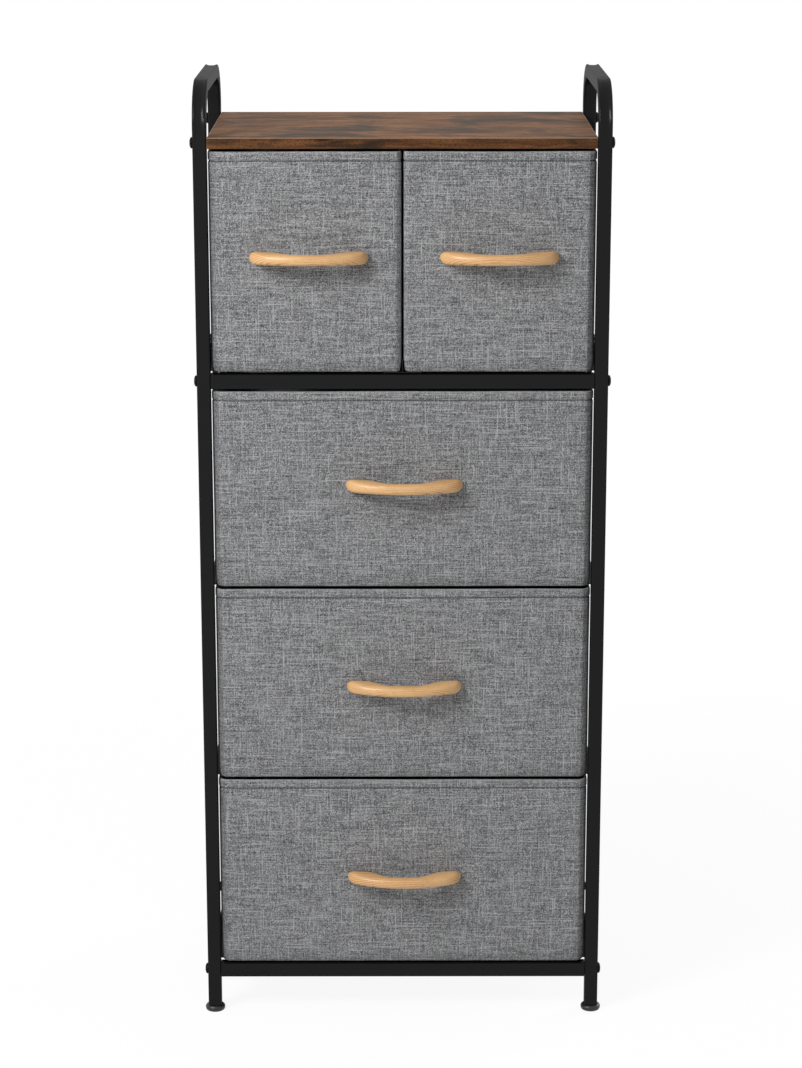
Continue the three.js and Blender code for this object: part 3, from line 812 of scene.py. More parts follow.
def stitch_tree(name):
    """Geometry nodes that lay sewing stitches along the edges of a mesh, as balls drawn out long."""
    nodes, given = new_tree(name, {
        "Path": "Geometry", "Pitch": "Float", "Stitch": "Float", "Thread": "Float", "Finish": "Material",
    })
    curve = nodes.add("GeometryNodeMeshToCurve", {"Mesh": given["Path"]})
    spaced = nodes.add("GeometryNodeResampleCurve", {
        "Curve": curve.outputs["Curve"], "Length": given["Pitch"],
    }, mode="LENGTH")
    ball = nodes.add("GeometryNodeMeshUVSphere", {
        "Segments": STITCH_SIDES, "Rings": STITCH_RINGS, "Radius": 0.5,
    })
    smooth = nodes.add("GeometryNodeSetShadeSmooth", {"Geometry": ball.outputs["Mesh"]})
    tangent = nodes.add("GeometryNodeInputTangent")
    turn = nodes.add("FunctionNodeAlignRotationToVector", {"Vector": tangent.outputs["Tangent"]}, axis="X")
    size = nodes.add("ShaderNodeCombineXYZ", {
        "X": given["Stitch"], "Y": given["Thread"], "Z": given["Thread"],
    })
    instances = nodes.add("GeometryNodeInstanceOnPoints", {
        "Points": spaced.outputs["Curve"], "Instance": smooth.outputs["Geometry"],
        "Rotation": turn.outputs["Rotation"], "Scale": size.outputs["Vector"],
    })
    return end_tree(nodes, instances, given["Finish"])


def grown(name, mesh, make_tree, values):
    """The plain mesh that geometry nodes make of a mesh. Values are set by their sockets' identifiers."""
    holder = linked("holder", mesh)
    modifier = holder.modifiers.new("nodes", "NODES")
    tree_name = make_tree.__name__
    modifier.node_group = bpy.data.node_groups.get(tree_name) or make_tree(tree_name)
    for item in modifier.node_group.interface.items_tree:
        if item.item_type == "SOCKET" and item.in_out == "INPUT" and item.name in values:
            modifier[item.identifier] = values[item.name]
    return baked(holder, name)


def repeated(name, shape, places, facings, finish):
    """One mesh with the shape at every place, its +X turned to the facing there."""
    pattern = mesh_piece("pattern", shape, [])
    cloud = bpy.data.meshes.new("places")
    cloud.from_pydata(places, [], [])
    cloud.attributes.new("facing", "FLOAT_VECTOR", "POINT").data.foreach_set(
        "vector", [value for facing in facings for value in facing]
    )
    piece = grown(name, cloud, repeat_tree, {"Piece": pattern, "Finish": finish})
    bpy.data.objects.remove(pattern)
    return piece


def sewn(name, loop, sizes):
    """Stitches along a closed loop of points."""
    path = bpy.data.meshes.new("stitch_path")
    path.from_pydata(loop, [(i, (i + 1) % len(loop)) for i in range(len(loop))], [])
    return grown(name, path, stitch_tree, {
        "Pitch": sizes.stitch_pitch, "Stitch": sizes.stitch, "Thread": sizes.thread,
        "Finish": MATERIALS["thread"],
    })


BOLT_SIDES = 24
SHANK_RADIUS = 0.003
TIP_CHAMFER = 0.0008
HEAD_RISE = 0.0029
HEAD_RIM = 0.0009
HEAD_ROUND = 0.0003
SOCKET_SHARE = 0.36
SOCKET_DEPTH = 0.0018
# Shares of the head's radius and of the crown's height.
CROWN_SHARES = ((1.0, 0.0), (0.985, 0.12), (0.9, 0.45), (0.76, 0.72), (0.58, 0.9), (0.44, 1.0))


def domed_bolt(low, high, head):
    """A domed bolt along +X with a hexagon socket, its head's seat at X zero."""
    radius = head / 2
    tip = HEAD_RISE - (high.x - low.x)
    crown = HEAD_RISE - HEAD_RIM
    profile = [
        (SHANK_RADIUS - TIP_CHAMFER, tip), (SHANK_RADIUS, TIP_CHAMFER + tip), (SHANK_RADIUS, 0),
        (radius - HEAD_ROUND, 0), (radius, HEAD_ROUND),
    ]
    profile += [(radius * share, HEAD_RIM + height * crown) for share, height in CROWN_SHARES]
    angles = [2 * math.pi * i / BOLT_SIDES for i in range(BOLT_SIDES)]
    rings = [
        [Vector((along, reach * math.cos(angle), reach * math.sin(angle))) for angle in angles]
        for reach, along in profile
    ]
    sixth = math.pi / 3
    for depth in (HEAD_RISE, HEAD_RISE - SOCKET_DEPTH):
        ring = []
        for angle in angles:
            reach = radius * SOCKET_SHARE / math.cos(angle - sixth * round(angle / sixth))
            ring.append(Vector((depth, reach * math.cos(angle), reach * math.sin(angle))))
        rings.append(ring)
    return loft(rings)


class DRESSER_OT_bolts(bpy.types.Operator):
    """Set a domed bolt in every bolt hole of the side frames"""

    bl_idname = "dresser.bolts"
    bl_label = "Bolts"

    def execute(self, context):
        sizes = context.scene.dresser_sizes
        places = []
        facings = []
        nodes = []
        for level in LEVELS:
            for post in POSTS:
                for side in SIDES:
                    name = f"bolt_{level}_{post}_{side}"
                    low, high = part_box(name)
                    out = 1.0 if side == "right" else -1.0
                    seat = high.x - HEAD_RISE if out > 0 else low.x + HEAD_RISE
                    places.append(Vector((seat, (low.y + high.y) / 2, (low.z + high.z) / 2)))
                    facings.append(Vector((out, 0, 0)))
                    nodes.append(name)
        shape = domed_bolt(*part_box(nodes[0]), sizes.bolt_head)
        piece = repeated("domed_bolts", shape, places, facings, MATERIALS["bolt"])
        dress(piece, "frame", "bolt_black", *nodes)
        return {"FINISHED"}


FOOT_SIDES = 48
BULB_STEPS = 20


class DRESSER_OT_feet(bpy.types.Operator):
    """Turn the four round levelling feet on their screw stems"""

    bl_idname = "dresser.feet"
    bl_label = "Levelling feet"

    def execute(self, context):
        for post in POSTS:
            for side in SIDES:
                node = f"foot_{post}_{side}"
                low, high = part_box(node)
                centre = Vector(((low.x + high.x) / 2, (low.y + high.y) / 2, low.z))
                shape = placed(self.bulb((high.x - low.x) / 2, high.z - low.z), Matrix.Translation(centre))
                piece = mesh_piece(f"levelling_{node}", shape, [MATERIALS["plastic"]])
                dress(piece, f"levelling_{node}", "foot_black", node)
        return {"FINISHED"}

    def bulb(self, radius, height):
        """A flattened bulb with a hollow sole, on a threaded stem."""
        thick = 0.007
        sole = 0.0098
        rim = 0.0014
        hollow = 0.0006
        top = 0.0068
        stem = 0.003
        thread = 0.0003
        pitch = 0.001
        profile = [(0, hollow), (sole - rim - hollow, hollow), (sole - rim, 0)]
        for i in range(BULB_STEPS + 1):
            angle = -math.pi / 2 + math.pi * i / BULB_STEPS
            inner = sole if angle < 0 else top
            profile.append((inner + (radius - inner) * math.cos(angle), thick / 2 * (1 + math.sin(angle))))
        profile.append((stem - thread, thick))
        for i in range(int((height - thick) / pitch) - 1):
            base = thick + (i + 0.5) * pitch
            profile += [(stem - thread, base), (stem, base + pitch / 2)]
        profile += [(stem - thread, height - pitch / 2), (stem - pitch, height), (0, height)]
        return revolve(profile, FOOT_SIDES)


# Each step of a front corner: the share left to the side, the share back, the normal's turn in degrees.
FRONT_CORNER = (
    (0.96, 0.005, 5), (0.88, 0.04, 20), (0.74, 0.13, 34), (0.55, 0.27, 37), (0.36, 0.41, 38),
    (0.24, 0.53, 50), (0.15, 0.68, 63), (0.06, 0.86, 74), (0.01, 0.97, 85),
)
# Each ring of the groove under the hem: its inset, its height over the stitches and its fold shade, below
# zero for painted shade in the groove.
HEM_GROOVE = (
    (0.0003, -0.0014, 0.0), (0.0012, -0.0005, -1.0), (0.0012, 0.0005, -1.0), (0.0001, 0.0012, 0.0),
    (0.0, 0.003, 0.0),
)
# The ring of them that the stitches follow.
STITCH_RING = 1
# The plain wall stands back by this and ends this far below the stitches.
CLOTH_INSET = 0.0002
GROOVE_REACH = 0.003
# Inside the box: the hem's fold and thickness, and the lining's end over the rounded edge of the floor.
HEM_STEP = 0.0008
HEM_SHEET = 0.0003
FLOOR_CLEAR = 0.003
FLOOR_ROUND = 0.002
# Steps of the mesh round and up the box.
FRONT_STEPS = 58
SIDE_STEPS = 36
RISE_STEPS = 34
LINING_STEPS = 17
ROUND_STEPS = 5
TUCK_STEPS = 6
# The slack waves, broad and fine, their share on each wall, and where foot and hem hold them.
RIPPLE_SCALE = 9
RIPPLE_SHIFT = 7.3
FINE_SHARE = 0.45
FINE_SCALE = 2.7
FRONT_SHARE = 0.6
SIDE_SHARE = 0.3
HELD_HEIGHT = 0.02
HELD_SHARE = 0.25
# The slight sag of the rim.
SAG = 0.0003
SAG_SCALE = 12
SAG_SHIFT = 3.1
SAG_POWER = 8
# The press of the handle's pads and the calm cloth round the handle.
PAD_HALF = 0.005
PAD_SOFT = 0.011
PAD_REACH = 0.04
# The swelling of the walls that face each other starts over this length.
SPLIT_EASE = 0.03
# The upright seams of the side walls.
SEAM_OFFSET = 0.0035
SEAM_WIDTH = 0.0012
SEAM_DEPTH = 0.0005
# Fold shades, below zero for painted shade: along the foot and round the outer front corners.
FOOT_SHADE = -0.6
CORNER_SHADE = -2.6
# The distance between the drawers' pieces of cloth on the flat coordinates.
CLOTH_SHIFT = 0.71


class BoxOutline:
    """The rectangle of a fabric box, with eased front corners and round rear ones.

    Its places are points with outward normals, shares of the seams' depth and fold shades, which are the
    painted shade of the corners.
    """

    def __init__(self, low, high, left, right, left_shade, right_shade):
        self.places = []
        start = low.x + left
        end = high.x - right
        middle = (low.x + high.x) / 2
        half_steps = FRONT_STEPS // 2
        self.straight((middle, high.y), (start, high.y), (0, 1), half_steps)
        self.turn((start, high.y - left), left, math.pi / 2)
        self.side((low.x, high.y - left), (low.x, low.y + left), (-1, 0))
        self.eased((low.x, low.y), -left, FRONT_CORNER[::-1], left_shade)
        self.straight((start, low.y), (end, low.y), (0, -1), FRONT_STEPS)
        self.eased((high.x, low.y), right, FRONT_CORNER, right_shade)
        self.side((high.x, low.y + right), (high.x, high.y - right), (1, 0))
        self.turn((end, high.y - right), right, 0.0)
        self.straight((end, high.y), (middle, high.y), (0, 1), half_steps)
        self.runs = [0.0]
        for before, after in zip(self.places, self.places[1:] + self.places[:1]):
            self.runs.append(self.runs[-1] + (Vector(after[0]) - Vector(before[0])).length)
        self.total = self.runs.pop()

    def straight(self, start, end, normal, steps):
        """A flat wall."""
        for i in range(steps):
            share = i / steps
            place = (start[0] + (end[0] - start[0]) * share, start[1] + (end[1] - start[1]) * share)
            self.places.append((place, normal, 0.0, 0.0))

    def side(self, start, end, normal):
        """A side wall with a sewn seam near each end."""
        long = abs(end[1] - start[1])
        sign = 1 if end[1] > start[1] else -1
        first = SEAM_OFFSET + SEAM_WIDTH
        steps = [(0.0, 0.0)]
        steps += [(first + (long - 2 * first) * i / SIDE_STEPS, 0.0) for i in range(SIDE_STEPS + 1)]
        for seam in (SEAM_OFFSET, long - SEAM_OFFSET):
            steps += [(seam - SEAM_WIDTH / 2, 0.0), (seam, 1.0), (seam + SEAM_WIDTH / 2, 0.0)]
        for along, groove in sorted(steps):
            self.places.append(((start[0], start[1] + sign * along), normal, groove, 0.0))

    def eased(self, tip, size, steps, shade):
        """A front corner, its size below zero on the left."""
        for aside, back, degrees in steps:
            turn = math.copysign(math.radians(degrees), size)
            place = (tip[0] - size * aside, tip[1] + abs(size) * back)
            # The outer corners take painted shade, darker as they turn away.
            self.places.append((place, (math.sin(turn), -math.cos(turn)), 0.0, shade * degrees / 90))

    def turn(self, centre, radius, start):
        """A rear corner."""
        for i in range(ROUND_STEPS):
            angle = start + i / ROUND_STEPS * math.pi / 2
            normal = (math.cos(angle), math.sin(angle))
            place = (centre[0] + radius * normal[0], centre[1] + radius * normal[1])
            self.places.append((place, normal, 0.0, 0.0))


class FabricBox:
    """Outer wall, hem, rim and lining of one drawer, with soft waves."""

    def __init__(self, number, sizes, handle_sizes):
        self.number = number
        self.sizes = sizes
        self.low, self.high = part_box(f"box_{number}")
        self.height = self.high.z - self.low.z
        self.split_side = {SMALL_DRAWERS[0]: 1, SMALL_DRAWERS[1]: -1}.get(number, 0)
        outer = (sizes.side_swell, sizes.corner, CORNER_SHADE)
        split = (0.0, sizes.split_corner, 0.0)
        left, left_corner, left_shade = split if self.split_side < 0 else outer
        right, right_corner, right_shade = split if self.split_side > 0 else outer
        self.outline = BoxOutline(
            self.low - Vector((left, 0, 0)), self.high + Vector((right, 0, 0)),
            left_corner, right_corner, left_shade, right_shade,
        )
        handle_low, handle_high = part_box(f"handle_{number}")
        self.handle = (handle_low + handle_high) / 2
        self.handle_half = (handle_high.x - handle_low.x) / 2
        self.pad_half = handle_sizes.pad / 2
        self.pad_place = self.handle_half - self.pad_half

    def faces_split(self, normal):
        """Whether this side of a small drawer faces the other small drawer."""
        return normal[0] * self.split_side > 0

    def wave(self, place, normal, run, rise):
        """How far the outer cloth stands proud of its plain wall at a point."""
        sizes = self.sizes
        spot = Vector((run * RIPPLE_SCALE, rise * RIPPLE_SCALE, self.number * RIPPLE_SHIFT))
        ripple = noise.noise(spot) + FINE_SHARE * noise.noise(spot * FINE_SCALE)
        under_hem = max(0.0, self.height - rise - sizes.hem)
        free = min(1.0, rise / HELD_HEIGHT, under_hem / HELD_HEIGHT + HELD_SHARE)
        cloth = sizes.slack * ripple * free
        beside = abs(place[0] - self.handle.x)
        above = abs(self.low.z + rise - self.handle.z)
        off_pad = max(0.0, abs(beside - self.pad_place) - self.pad_half)
        pad = Vector((off_pad, max(0.0, above - PAD_HALF))).length
        held = Vector((max(0.0, beside - self.handle_half), above)).length
        front = FRONT_SHARE * cloth * min(1.0, held / PAD_REACH)
        front -= sizes.pad_press * math.exp(-(pad / PAD_SOFT) ** 2)
        side = SIDE_SHARE * cloth
        if self.faces_split(normal):
            ends = min(place[1] - self.low.y - sizes.split_corner, self.high.y - place[1])
            swing = normal[0] * sizes.split_swing * math.sin(2 * math.pi * rise / sizes.split_wave)
            side = (sizes.split_swell + swing) * smooth_step(ends / SPLIT_EASE)
        across = (place[0] - self.low.x) / (self.high.x - self.low.x) * 2 - 1
        rear = cloth + sizes.rear_swell * (1 - across ** 2) * free
        return max(0.0, -normal[1]) ** 2 * front + normal[0] ** 2 * side + max(0.0, normal[1]) ** 2 * rear

    def outer(self, inset, rise):
        """One ring of the outer wall."""
        ring = []
        for (place, normal, groove, _), run in zip(self.outline.places, self.outline.runs):
            level = max(inset, CLOTH_INSET) if self.faces_split(normal) and abs(normal[0]) > 0.5 else inset
            out = self.wave(place, normal, run, rise) - level - groove * SEAM_DEPTH
            sag = SAG * noise.noise(Vector((run * SAG_SCALE, 0.0, self.number * SAG_SHIFT)))
            ring.append(Vector((
                place[0] + normal[0] * out,
                place[1] + normal[1] * out,
                self.low.z + rise + sag * (rise / self.height) ** SAG_POWER,
            )))
        return ring

    def drawn_in(self, rise):
        """How far the wall stands back near its foot."""
        return CLOTH_INSET + self.sizes.tuck * max(0.0, 1 - rise / self.sizes.tuck_height) ** 2

    def rings(self):
        """Inset, rise, fold shade (painted shade below zero, painted highlight above) and zone of each
        ring, from the foot over the rim to the inner floor.
        """
        sizes = self.sizes
        fold = sizes.foot_round
        rings = []
        # The foot takes painted shade, fading out over the tuck.
        for i in range(ROUND_STEPS + 1):
            angle = i / ROUND_STEPS * math.pi / 2
            rise = fold * (1 - math.cos(angle))
            rings.append((self.drawn_in(rise) + fold * (1 - math.sin(angle)), rise, FOOT_SHADE, 0))
        for i in range(1, TUCK_STEPS):
            share = i / TUCK_STEPS
            rise = fold + (sizes.tuck_height - fold) * share
            rings.append((self.drawn_in(rise), rise, FOOT_SHADE * (1 - share), 0))
        foot = sizes.tuck_height
        stitches = self.height - sizes.hem
        wall = stitches - GROOVE_REACH - foot
        rings += [(CLOTH_INSET, foot + wall * i / RISE_STEPS, 0.0, 0) for i in range(RISE_STEPS + 1)]
        self.stitch_ring = len(rings) + STITCH_RING
        rings += [(inset, stitches + rise, shade, 0) for inset, rise, shade in HEM_GROOVE]
        thick = sizes.wall
        rings.append((0.0, self.height - thick, 0.0, 0))
        # The rim takes a painted highlight.
        rim = thick / 2
        for i in range(ROUND_STEPS + 1):
            angle = i / ROUND_STEPS * math.pi
            rings.append((rim * (1 - math.cos(angle)), self.height - rim + rim * math.sin(angle), 1.0, 0))
        hem = self.height - sizes.inner_hem
        sheet = thick - HEM_SHEET
        drop = thick + FLOOR_CLEAR - hem
        rings += [(thick, hem + HEM_STEP, 0.0, 0), (sheet, hem, 0.0, 1)]
        rings += [(sheet, hem + drop * i / LINING_STEPS, 0.0, 1) for i in range(1, LINING_STEPS)]
        rings += [(thick, thick + FLOOR_ROUND, 0.0, 1), (thick + FLOOR_ROUND, thick, 0.0, 1)]
        return rings

    def build(self):
        """The cloth piece and the loop of points that its hem stitches follow."""
        rows = self.rings()
        rings = [self.outer(inset, rise) for inset, rise, _, _ in rows]
        zones = [zone for _, _, _, zone in rows]
        materials = [MATERIALS["linen"], MATERIALS["lining"]]
        piece = mesh_piece(f"fabric_box_{self.number}", loft(rings, zones), materials, CLOTH_CREASE)
        self.unwrap(piece.data, rows)
        # The fold attribute carries painted shade and painted highlight for the linen.
        piece.data.attributes.new("fold", "FLOAT", "POINT").data.foreach_set(
            "value", [fold + place[3] for _, _, fold, _ in rows for place in self.outline.places]
        )
        return piece, rings[self.stitch_ring]

    def unwrap(self, mesh, rows):
        """Flat coordinates in metres: round the box, and along the wall."""
        runs = self.outline.runs
        count = len(runs)
        heights = [0.0]
        for before, after in zip(rows, rows[1:]):
            heights.append(heights[-1] + math.hypot(after[0] - before[0], after[1] - before[1]))
        layer = mesh.uv_layers.new(name="cloth")
        shift = self.number * CLOTH_SHIFT
        for face in mesh.polygons:
            columns = [mesh.loops[i].vertex_index % count for i in face.loop_indices]
            wraps = 0 in columns and count - 1 in columns
            for i in face.loop_indices:
                vertex = mesh.loops[i].vertex_index
                if len(face.vertices) > 4:
                    point = mesh.vertices[vertex].co
                    layer.data[i].uv = (point.x + shift, point.y)
                    continue
                column = vertex % count
                run = self.outline.total if wraps and column == 0 else runs[column]
                layer.data[i].uv = (run + shift, heights[vertex // count] + shift)


class DRESSER_OT_fabric_boxes(bpy.types.Operator):
    """Sew the five fabric drawers with their hems, rims and linings"""

    bl_idname = "dresser.fabric_boxes"
    bl_label = "Fabric boxes"

    def execute(self, context):
        sizes = context.scene.cloth_sizes
        for number in DRAWERS:
            piece, loop = FabricBox(number, sizes, context.scene.handle_sizes).build()
            body = f"drawer_{number}"
            dress(piece, body, "drawer_fabric", f"box_{number}")
            stitches = dress(sewn(f"hem_stitches_{number}", loop, sizes), body, "drawer_fabric")
        return {"FINISHED"}


BOARD_ROUND = 0.0011
BOARD_CORNER = 0.004
LEAST_CORNER = 0.0005
BOARD_STEPS = 4


def covered_board(low, high):
    """A flat board with all its edges rounded, and its two wide axes."""
    centre = (low + high) / 2
    half = (high - low) / 2
    thin = min(range(3), key=lambda axis: half[axis])
    wide = [axis for axis in range(3) if axis != thin]
    quarter = [math.pi / 2 * i / BOARD_STEPS for i in range(BOARD_STEPS + 1)]
    profile = [
        (BOARD_ROUND * (1 - math.sin(angle)), -half[thin] + BOARD_ROUND * (1 - math.cos(angle)))
        for angle in quarter
    ]
    profile += [(inset, -height) for inset, height in reversed(profile)]
    rings = []
    for inset, height in profile:
        corner = max(BOARD_CORNER - inset, LEAST_CORNER)
        ring = []
        for turn, signs in enumerate(((1, 1), (-1, 1), (-1, -1), (1, -1))):
            for angle in quarter:
                angle += turn * math.pi / 2
                point = centre.copy()
                for axis, sign, reach in zip(wide, signs, (math.cos(angle), math.sin(angle))):
                    point[axis] += sign * (half[axis] - inset - corner) + corner * reach
                point[thin] += height
                ring.append(point)
        rings.append(ring)
    return loft(rings), wide


class DRESSER_OT_drawer_boards(bpy.types.Operator):
    """Cover the front and base board of each drawer with lining"""

    bl_idname = "dresser.drawer_boards"
    bl_label = "Drawer boards"

    def execute(self, context):
        for number in DRAWERS:
            for board in ("front_board", "base_board"):
                node = f"{board}_{number}"
                low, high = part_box(node)
                shape, wide = covered_board(low, high)
                piece = mesh_piece(f"covered_{node}", shape, [MATERIALS["lining"]])
                layer = piece.data.uv_layers.new(name="cloth")
                for loop in piece.data.loops:
                    point = piece.data.vertices[loop.vertex_index].co
                    layer.data[loop.index].uv = (point[wide[0]], point[wide[1]])
                dress(piece, f"drawer_{number}", "stiffener", node)
        return {"FINISHED"}


HANDLE_STATIONS = 96
HANDLE_SIDES = 36
HANDLE_TIP = 0.0012
HANDLE_SQUARENESS = 0.8


class DRESSER_OT_handles(bpy.types.Operator):
    """Shape the five wooden bow handles"""

    bl_idname = "dresser.handles"
    bl_label = "Bow handles"

    def execute(self, context):
        for number in DRAWERS:
            node = f"handle_{number}"
            shape = self.bow(*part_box(node), context.scene.handle_sizes)
            piece = mesh_piece(f"bow_{node}", shape, [MATERIALS["beech"]], HANDLE_CREASE)
            dress(piece, f"drawer_{number}", "handle_wood", node)
        return {"FINISHED"}

    def bow(self, low, high, sizes):
        """A bow from pad to pad: half an ellipse outside, flat pads and a sweep inside."""
        half = (high.x - low.x) / 2
        reach = high.y - low.y
        centre = Vector(((low.x + high.x) / 2, high.y, (low.z + high.z) / 2))
        rings = []
        for station in range(HANDLE_STATIONS + 1):
            angle = math.pi * station / HANDLE_STATIONS
            x = -math.cos(angle) * half
            away = abs(x)
            bow = math.sqrt(max(0.0, 1 - (x / half) ** 2))
            outer = max(reach * bow, HANDLE_TIP)
            climb = smooth_step((half - sizes.pad - away) / sizes.sweep)
            inner = (reach - sizes.grip) * climb
            into_end = max(0.0, away - (half - sizes.end_round)) / sizes.end_round
            shrink = math.sqrt(max(0.0, 1 - into_end ** 2))
            full = sizes.end_height + (sizes.mid_height - sizes.end_height) * climb
            tall = max(full * shrink, HANDLE_TIP) / 2
            thick = (outer - inner) / 2
            middle = (outer + inner) / 2
            lift = sizes.end_lift + (sizes.mid_lift - sizes.end_lift) * climb
            ring = []
            for i in range(HANDLE_SIDES):
                turn = 2 * math.pi * i / HANDLE_SIDES
                across, up = (
                    math.copysign(abs(share) ** HANDLE_SQUARENESS, share)
                    for share in (math.cos(turn), math.sin(turn))
                )
                ring.append(centre + Vector((x, -middle + thick * across, tall * up + lift)))
            rings.append(ring)
        return loft(rings)


SCREW_SIDES = 24
# Shares of the screw head's radius and of its rise, from its rim to the bottom of its recess.
SCREW_SHARES = ((1, 0), (1, 0.45), (0.86, 0.8), (0.5, 1), (0.2, 1), (0, 0.5))


class DRESSER_OT_handle_screws(bpy.types.Operator):
    """Fix each handle with two screws and washers inside the drawer"""

    bl_idname = "dresser.handle_screws"
    bl_label = "Handle screws"

    def execute(self, context):
        sizes = context.scene.handle_sizes
        for number in DRAWERS:
            handle_low, handle_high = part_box(f"handle_{number}")
            _, board_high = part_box(f"front_board_{number}")
            centre = (handle_low + handle_high) / 2
            places = [
                Vector((centre.x + sign * sizes.screw_spacing / 2, board_high.y, centre.z))
                for sign in (-1, 1)
            ]
            facings = [Vector((0, 1, 0))] * len(places)
            name = f"handle_screws_{number}"
            piece = repeated(name, self.screw(sizes), places, facings, MATERIALS["steel"])
            dress(piece, f"drawer_{number}", "handle_wood")
        return {"FINISHED"}

    def screw(self, sizes):
        """Washer and pan head along +X, with a round recess."""
        washer = sizes.washer / 2
        head = sizes.screw_head / 2
        rise = 0.0024
        sheet = 0.0008
        eased = 0.0002
        profile = [
            (0, 0), (washer - eased / 2, 0), (washer, eased), (washer, sheet - eased),
            (washer - eased, sheet),
        ]
        profile += [(head * share, sheet + rise * height) for share, height in SCREW_SHARES]
        return placed(revolve(profile, SCREW_SIDES), AXIS_TO_X)


# The photograph's size and its focal length in pixels, and the sensor in millimetres.
PHOTO_WIDTH = 802
PHOTO_HEIGHT = 1068
FOCAL_PIXELS = 2788.8
SENSOR = 36.0
# The camera's place in metres and its turn in degrees.
CAMERA_PLACE = (-0.0049, -3.1133, 1.3425)
CAMERA_TURN = (75.538, 0.042, -0.070)
# The strength of the room's light on the dresser, and the floor's half width and own light.
ROOM_LIGHT = 0.36
FLOOR_REACH = 12.0
FLOOR_GLOW = 1.02
# The share of that light near the dresser, where a shadow stays, and the reach over which it fills up.
NEAR_SHARE = 0.9
NEAR_REACH = 0.4
FAR_REACH = 2.5
# The name, place, size in metres and power in watts of each lamp.
LAMPS = (
    ("key_light", (-1.5, -1.55, 2.05), 0.9, 55),
    ("fill_light", (2.2, -2.2, 1.3), 2.0, 3),
    ("rear_light", (2.7, 1.8, 1.5), 1.6, 40),
)


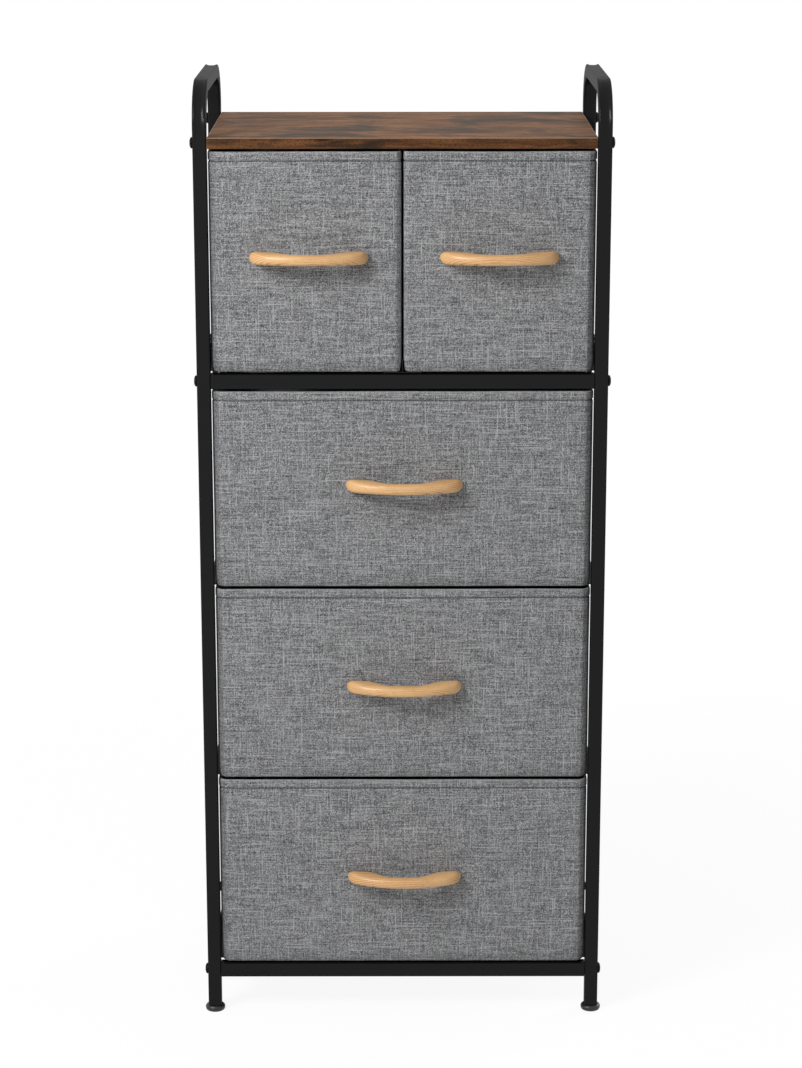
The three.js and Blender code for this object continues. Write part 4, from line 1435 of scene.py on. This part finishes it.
class DRESSER_OT_stage(bpy.types.Operator):
    """Set the floor, the backdrop, the lights and the camera"""

    bl_idname = "dresser.stage"
    bl_label = "Stage"

    def execute(self, context):
        scene = context.scene
        scene.view_settings.view_transform = "Standard"
        self.floor()
        self.world(scene)
        for lamp in LAMPS:
            self.lamp(*lamp)
        self.camera(scene)
        return {"FINISHED"}

    def floor(self):
        """A wide pale floor that shows white to the camera and keeps a faint shadow."""
        pale = Finish("pale_floor", (0.9, 0.9, 0.9), {"Roughness": 0.9})
        glow = pale.add("ShaderNodeEmission", {"Color": (1, 1, 1), "Strength": FLOOR_GLOW})
        away = pale.add("ShaderNodeVectorMath", {0: pale.place}, operation="LENGTH")
        far = pale.add("ShaderNodeMapRange", {
            "Value": away.outputs["Value"], "From Min": NEAR_REACH, "From Max": FAR_REACH,
            "To Min": NEAR_SHARE, "To Max": 1.0,
        })
        mix = pale.add("ShaderNodeMixShader", {
            "Fac": pale.math("MULTIPLY", self.looked_at(pale), far.outputs["Result"]),
            1: pale.shader.outputs["BSDF"], 2: glow.outputs["Emission"],
        })
        pale.feed(pale.tree.nodes["Material Output"].inputs["Surface"], mix.outputs["Shader"])
        mesh = bpy.data.meshes.new("floor")
        corners = [(x * FLOOR_REACH, y * FLOOR_REACH, 0) for x, y in ((-1, -1), (1, -1), (1, 1), (-1, 1))]
        mesh.from_pydata(corners, [], [(0, 1, 2, 3)])
        mesh.materials.append(pale.material)
        linked("floor", mesh)

    def looked_at(self, nodes):
        """1 where the camera sees the surroundings, straight, in gloss or through glass."""
        path = nodes.add("ShaderNodeLightPath").outputs
        either = nodes.math("MAXIMUM", path["Is Camera Ray"], path["Is Glossy Ray"])
        return nodes.math("MAXIMUM", either, path["Is Transmission Ray"])

    def world(self, scene):
        """An even white room."""
        world = bpy.data.worlds.new("studio")
        scene.world = world
        world.use_nodes = True
        nodes = Nodes(world.node_tree)
        background = nodes.tree.nodes["Background"].inputs
        nodes.feed(background["Color"], (1, 1, 1))
        nodes.feed(background["Strength"], nodes.between(self.looked_at(nodes), ROOM_LIGHT, 1.0))

    def lamp(self, name, place, size, power):
        """A square soft light that faces the middle of the dresser."""
        light = bpy.data.lights.new(name, "AREA")
        light.size = size
        light.energy = power
        lamp = linked(name, light)
        lamp.location = place
        middle = (CAD_BOX[0] + CAD_BOX[1]) / 2
        lamp.rotation_euler = (middle - Vector(place)).to_track_quat("-Z", "Y").to_euler()

    def camera(self, scene):
        """The camera at the photograph's place and angle."""
        data = bpy.data.cameras.new("camera")
        data.sensor_width = SENSOR
        data.lens = SENSOR * FOCAL_PIXELS / max(PHOTO_WIDTH, PHOTO_HEIGHT)
        camera = linked("camera", data)
        camera.location = CAMERA_PLACE
        camera.rotation_euler = [math.radians(degrees) for degrees in CAMERA_TURN]
        scene.camera = camera


class DRESSER_PT_panel(bpy.types.Panel):
    """The dresser's pieces and values in the sidebar"""

    bl_idname = "DRESSER_PT_panel"
    bl_label = "Fabric Drawer Dresser"
    bl_space_type = "VIEW_3D"
    bl_region_type = "UI"
    bl_category = "Dresser"

    def draw(self, context):
        layout = self.layout
        for operator in OPERATORS:
            layout.operator(operator.bl_idname)
        for name in GROUPS:
            box = layout.box()
            group = getattr(context.scene, name)
            for key in group.__annotations__:
                box.prop(group, key)


OPERATORS = (
    DRESSER_OT_finishes,
    DRESSER_OT_stage,
    DRESSER_OT_side_frames,
    DRESSER_OT_bars_and_rails,
    DRESSER_OT_rail_welds,
    DRESSER_OT_top_board,
    DRESSER_OT_bolts,
    DRESSER_OT_feet,
    DRESSER_OT_fabric_boxes,
    DRESSER_OT_drawer_boards,
    DRESSER_OT_handles,
    DRESSER_OT_handle_screws,
)
GROUPS = {
    "dresser_sizes": DresserSizes,
    "cloth_sizes": ClothSizes,
    "handle_sizes": HandleSizes,
    "dresser_colours": DresserColours,
}


def register():
    for group in GROUPS.values():
        bpy.utils.register_class(group)
    for name, group in GROUPS.items():
        setattr(bpy.types.Scene, name, bpy.props.PointerProperty(type=group))
    for operator in OPERATORS:
        bpy.utils.register_class(operator)
    bpy.utils.register_class(DRESSER_PT_panel)


def unregister():
    bpy.utils.unregister_class(DRESSER_PT_panel)
    for operator in reversed(OPERATORS):
        bpy.utils.unregister_class(operator)
    for name in GROUPS:
        delattr(bpy.types.Scene, name)
    for group in GROUPS.values():
        bpy.utils.unregister_class(group)


def main():
    """Registers the add-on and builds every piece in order."""
    register()
    for operator in OPERATORS:
        family, name = operator.bl_idname.split(".")
        getattr(getattr(bpy.ops, family), name)()


if __name__ == "__main__":
    main()
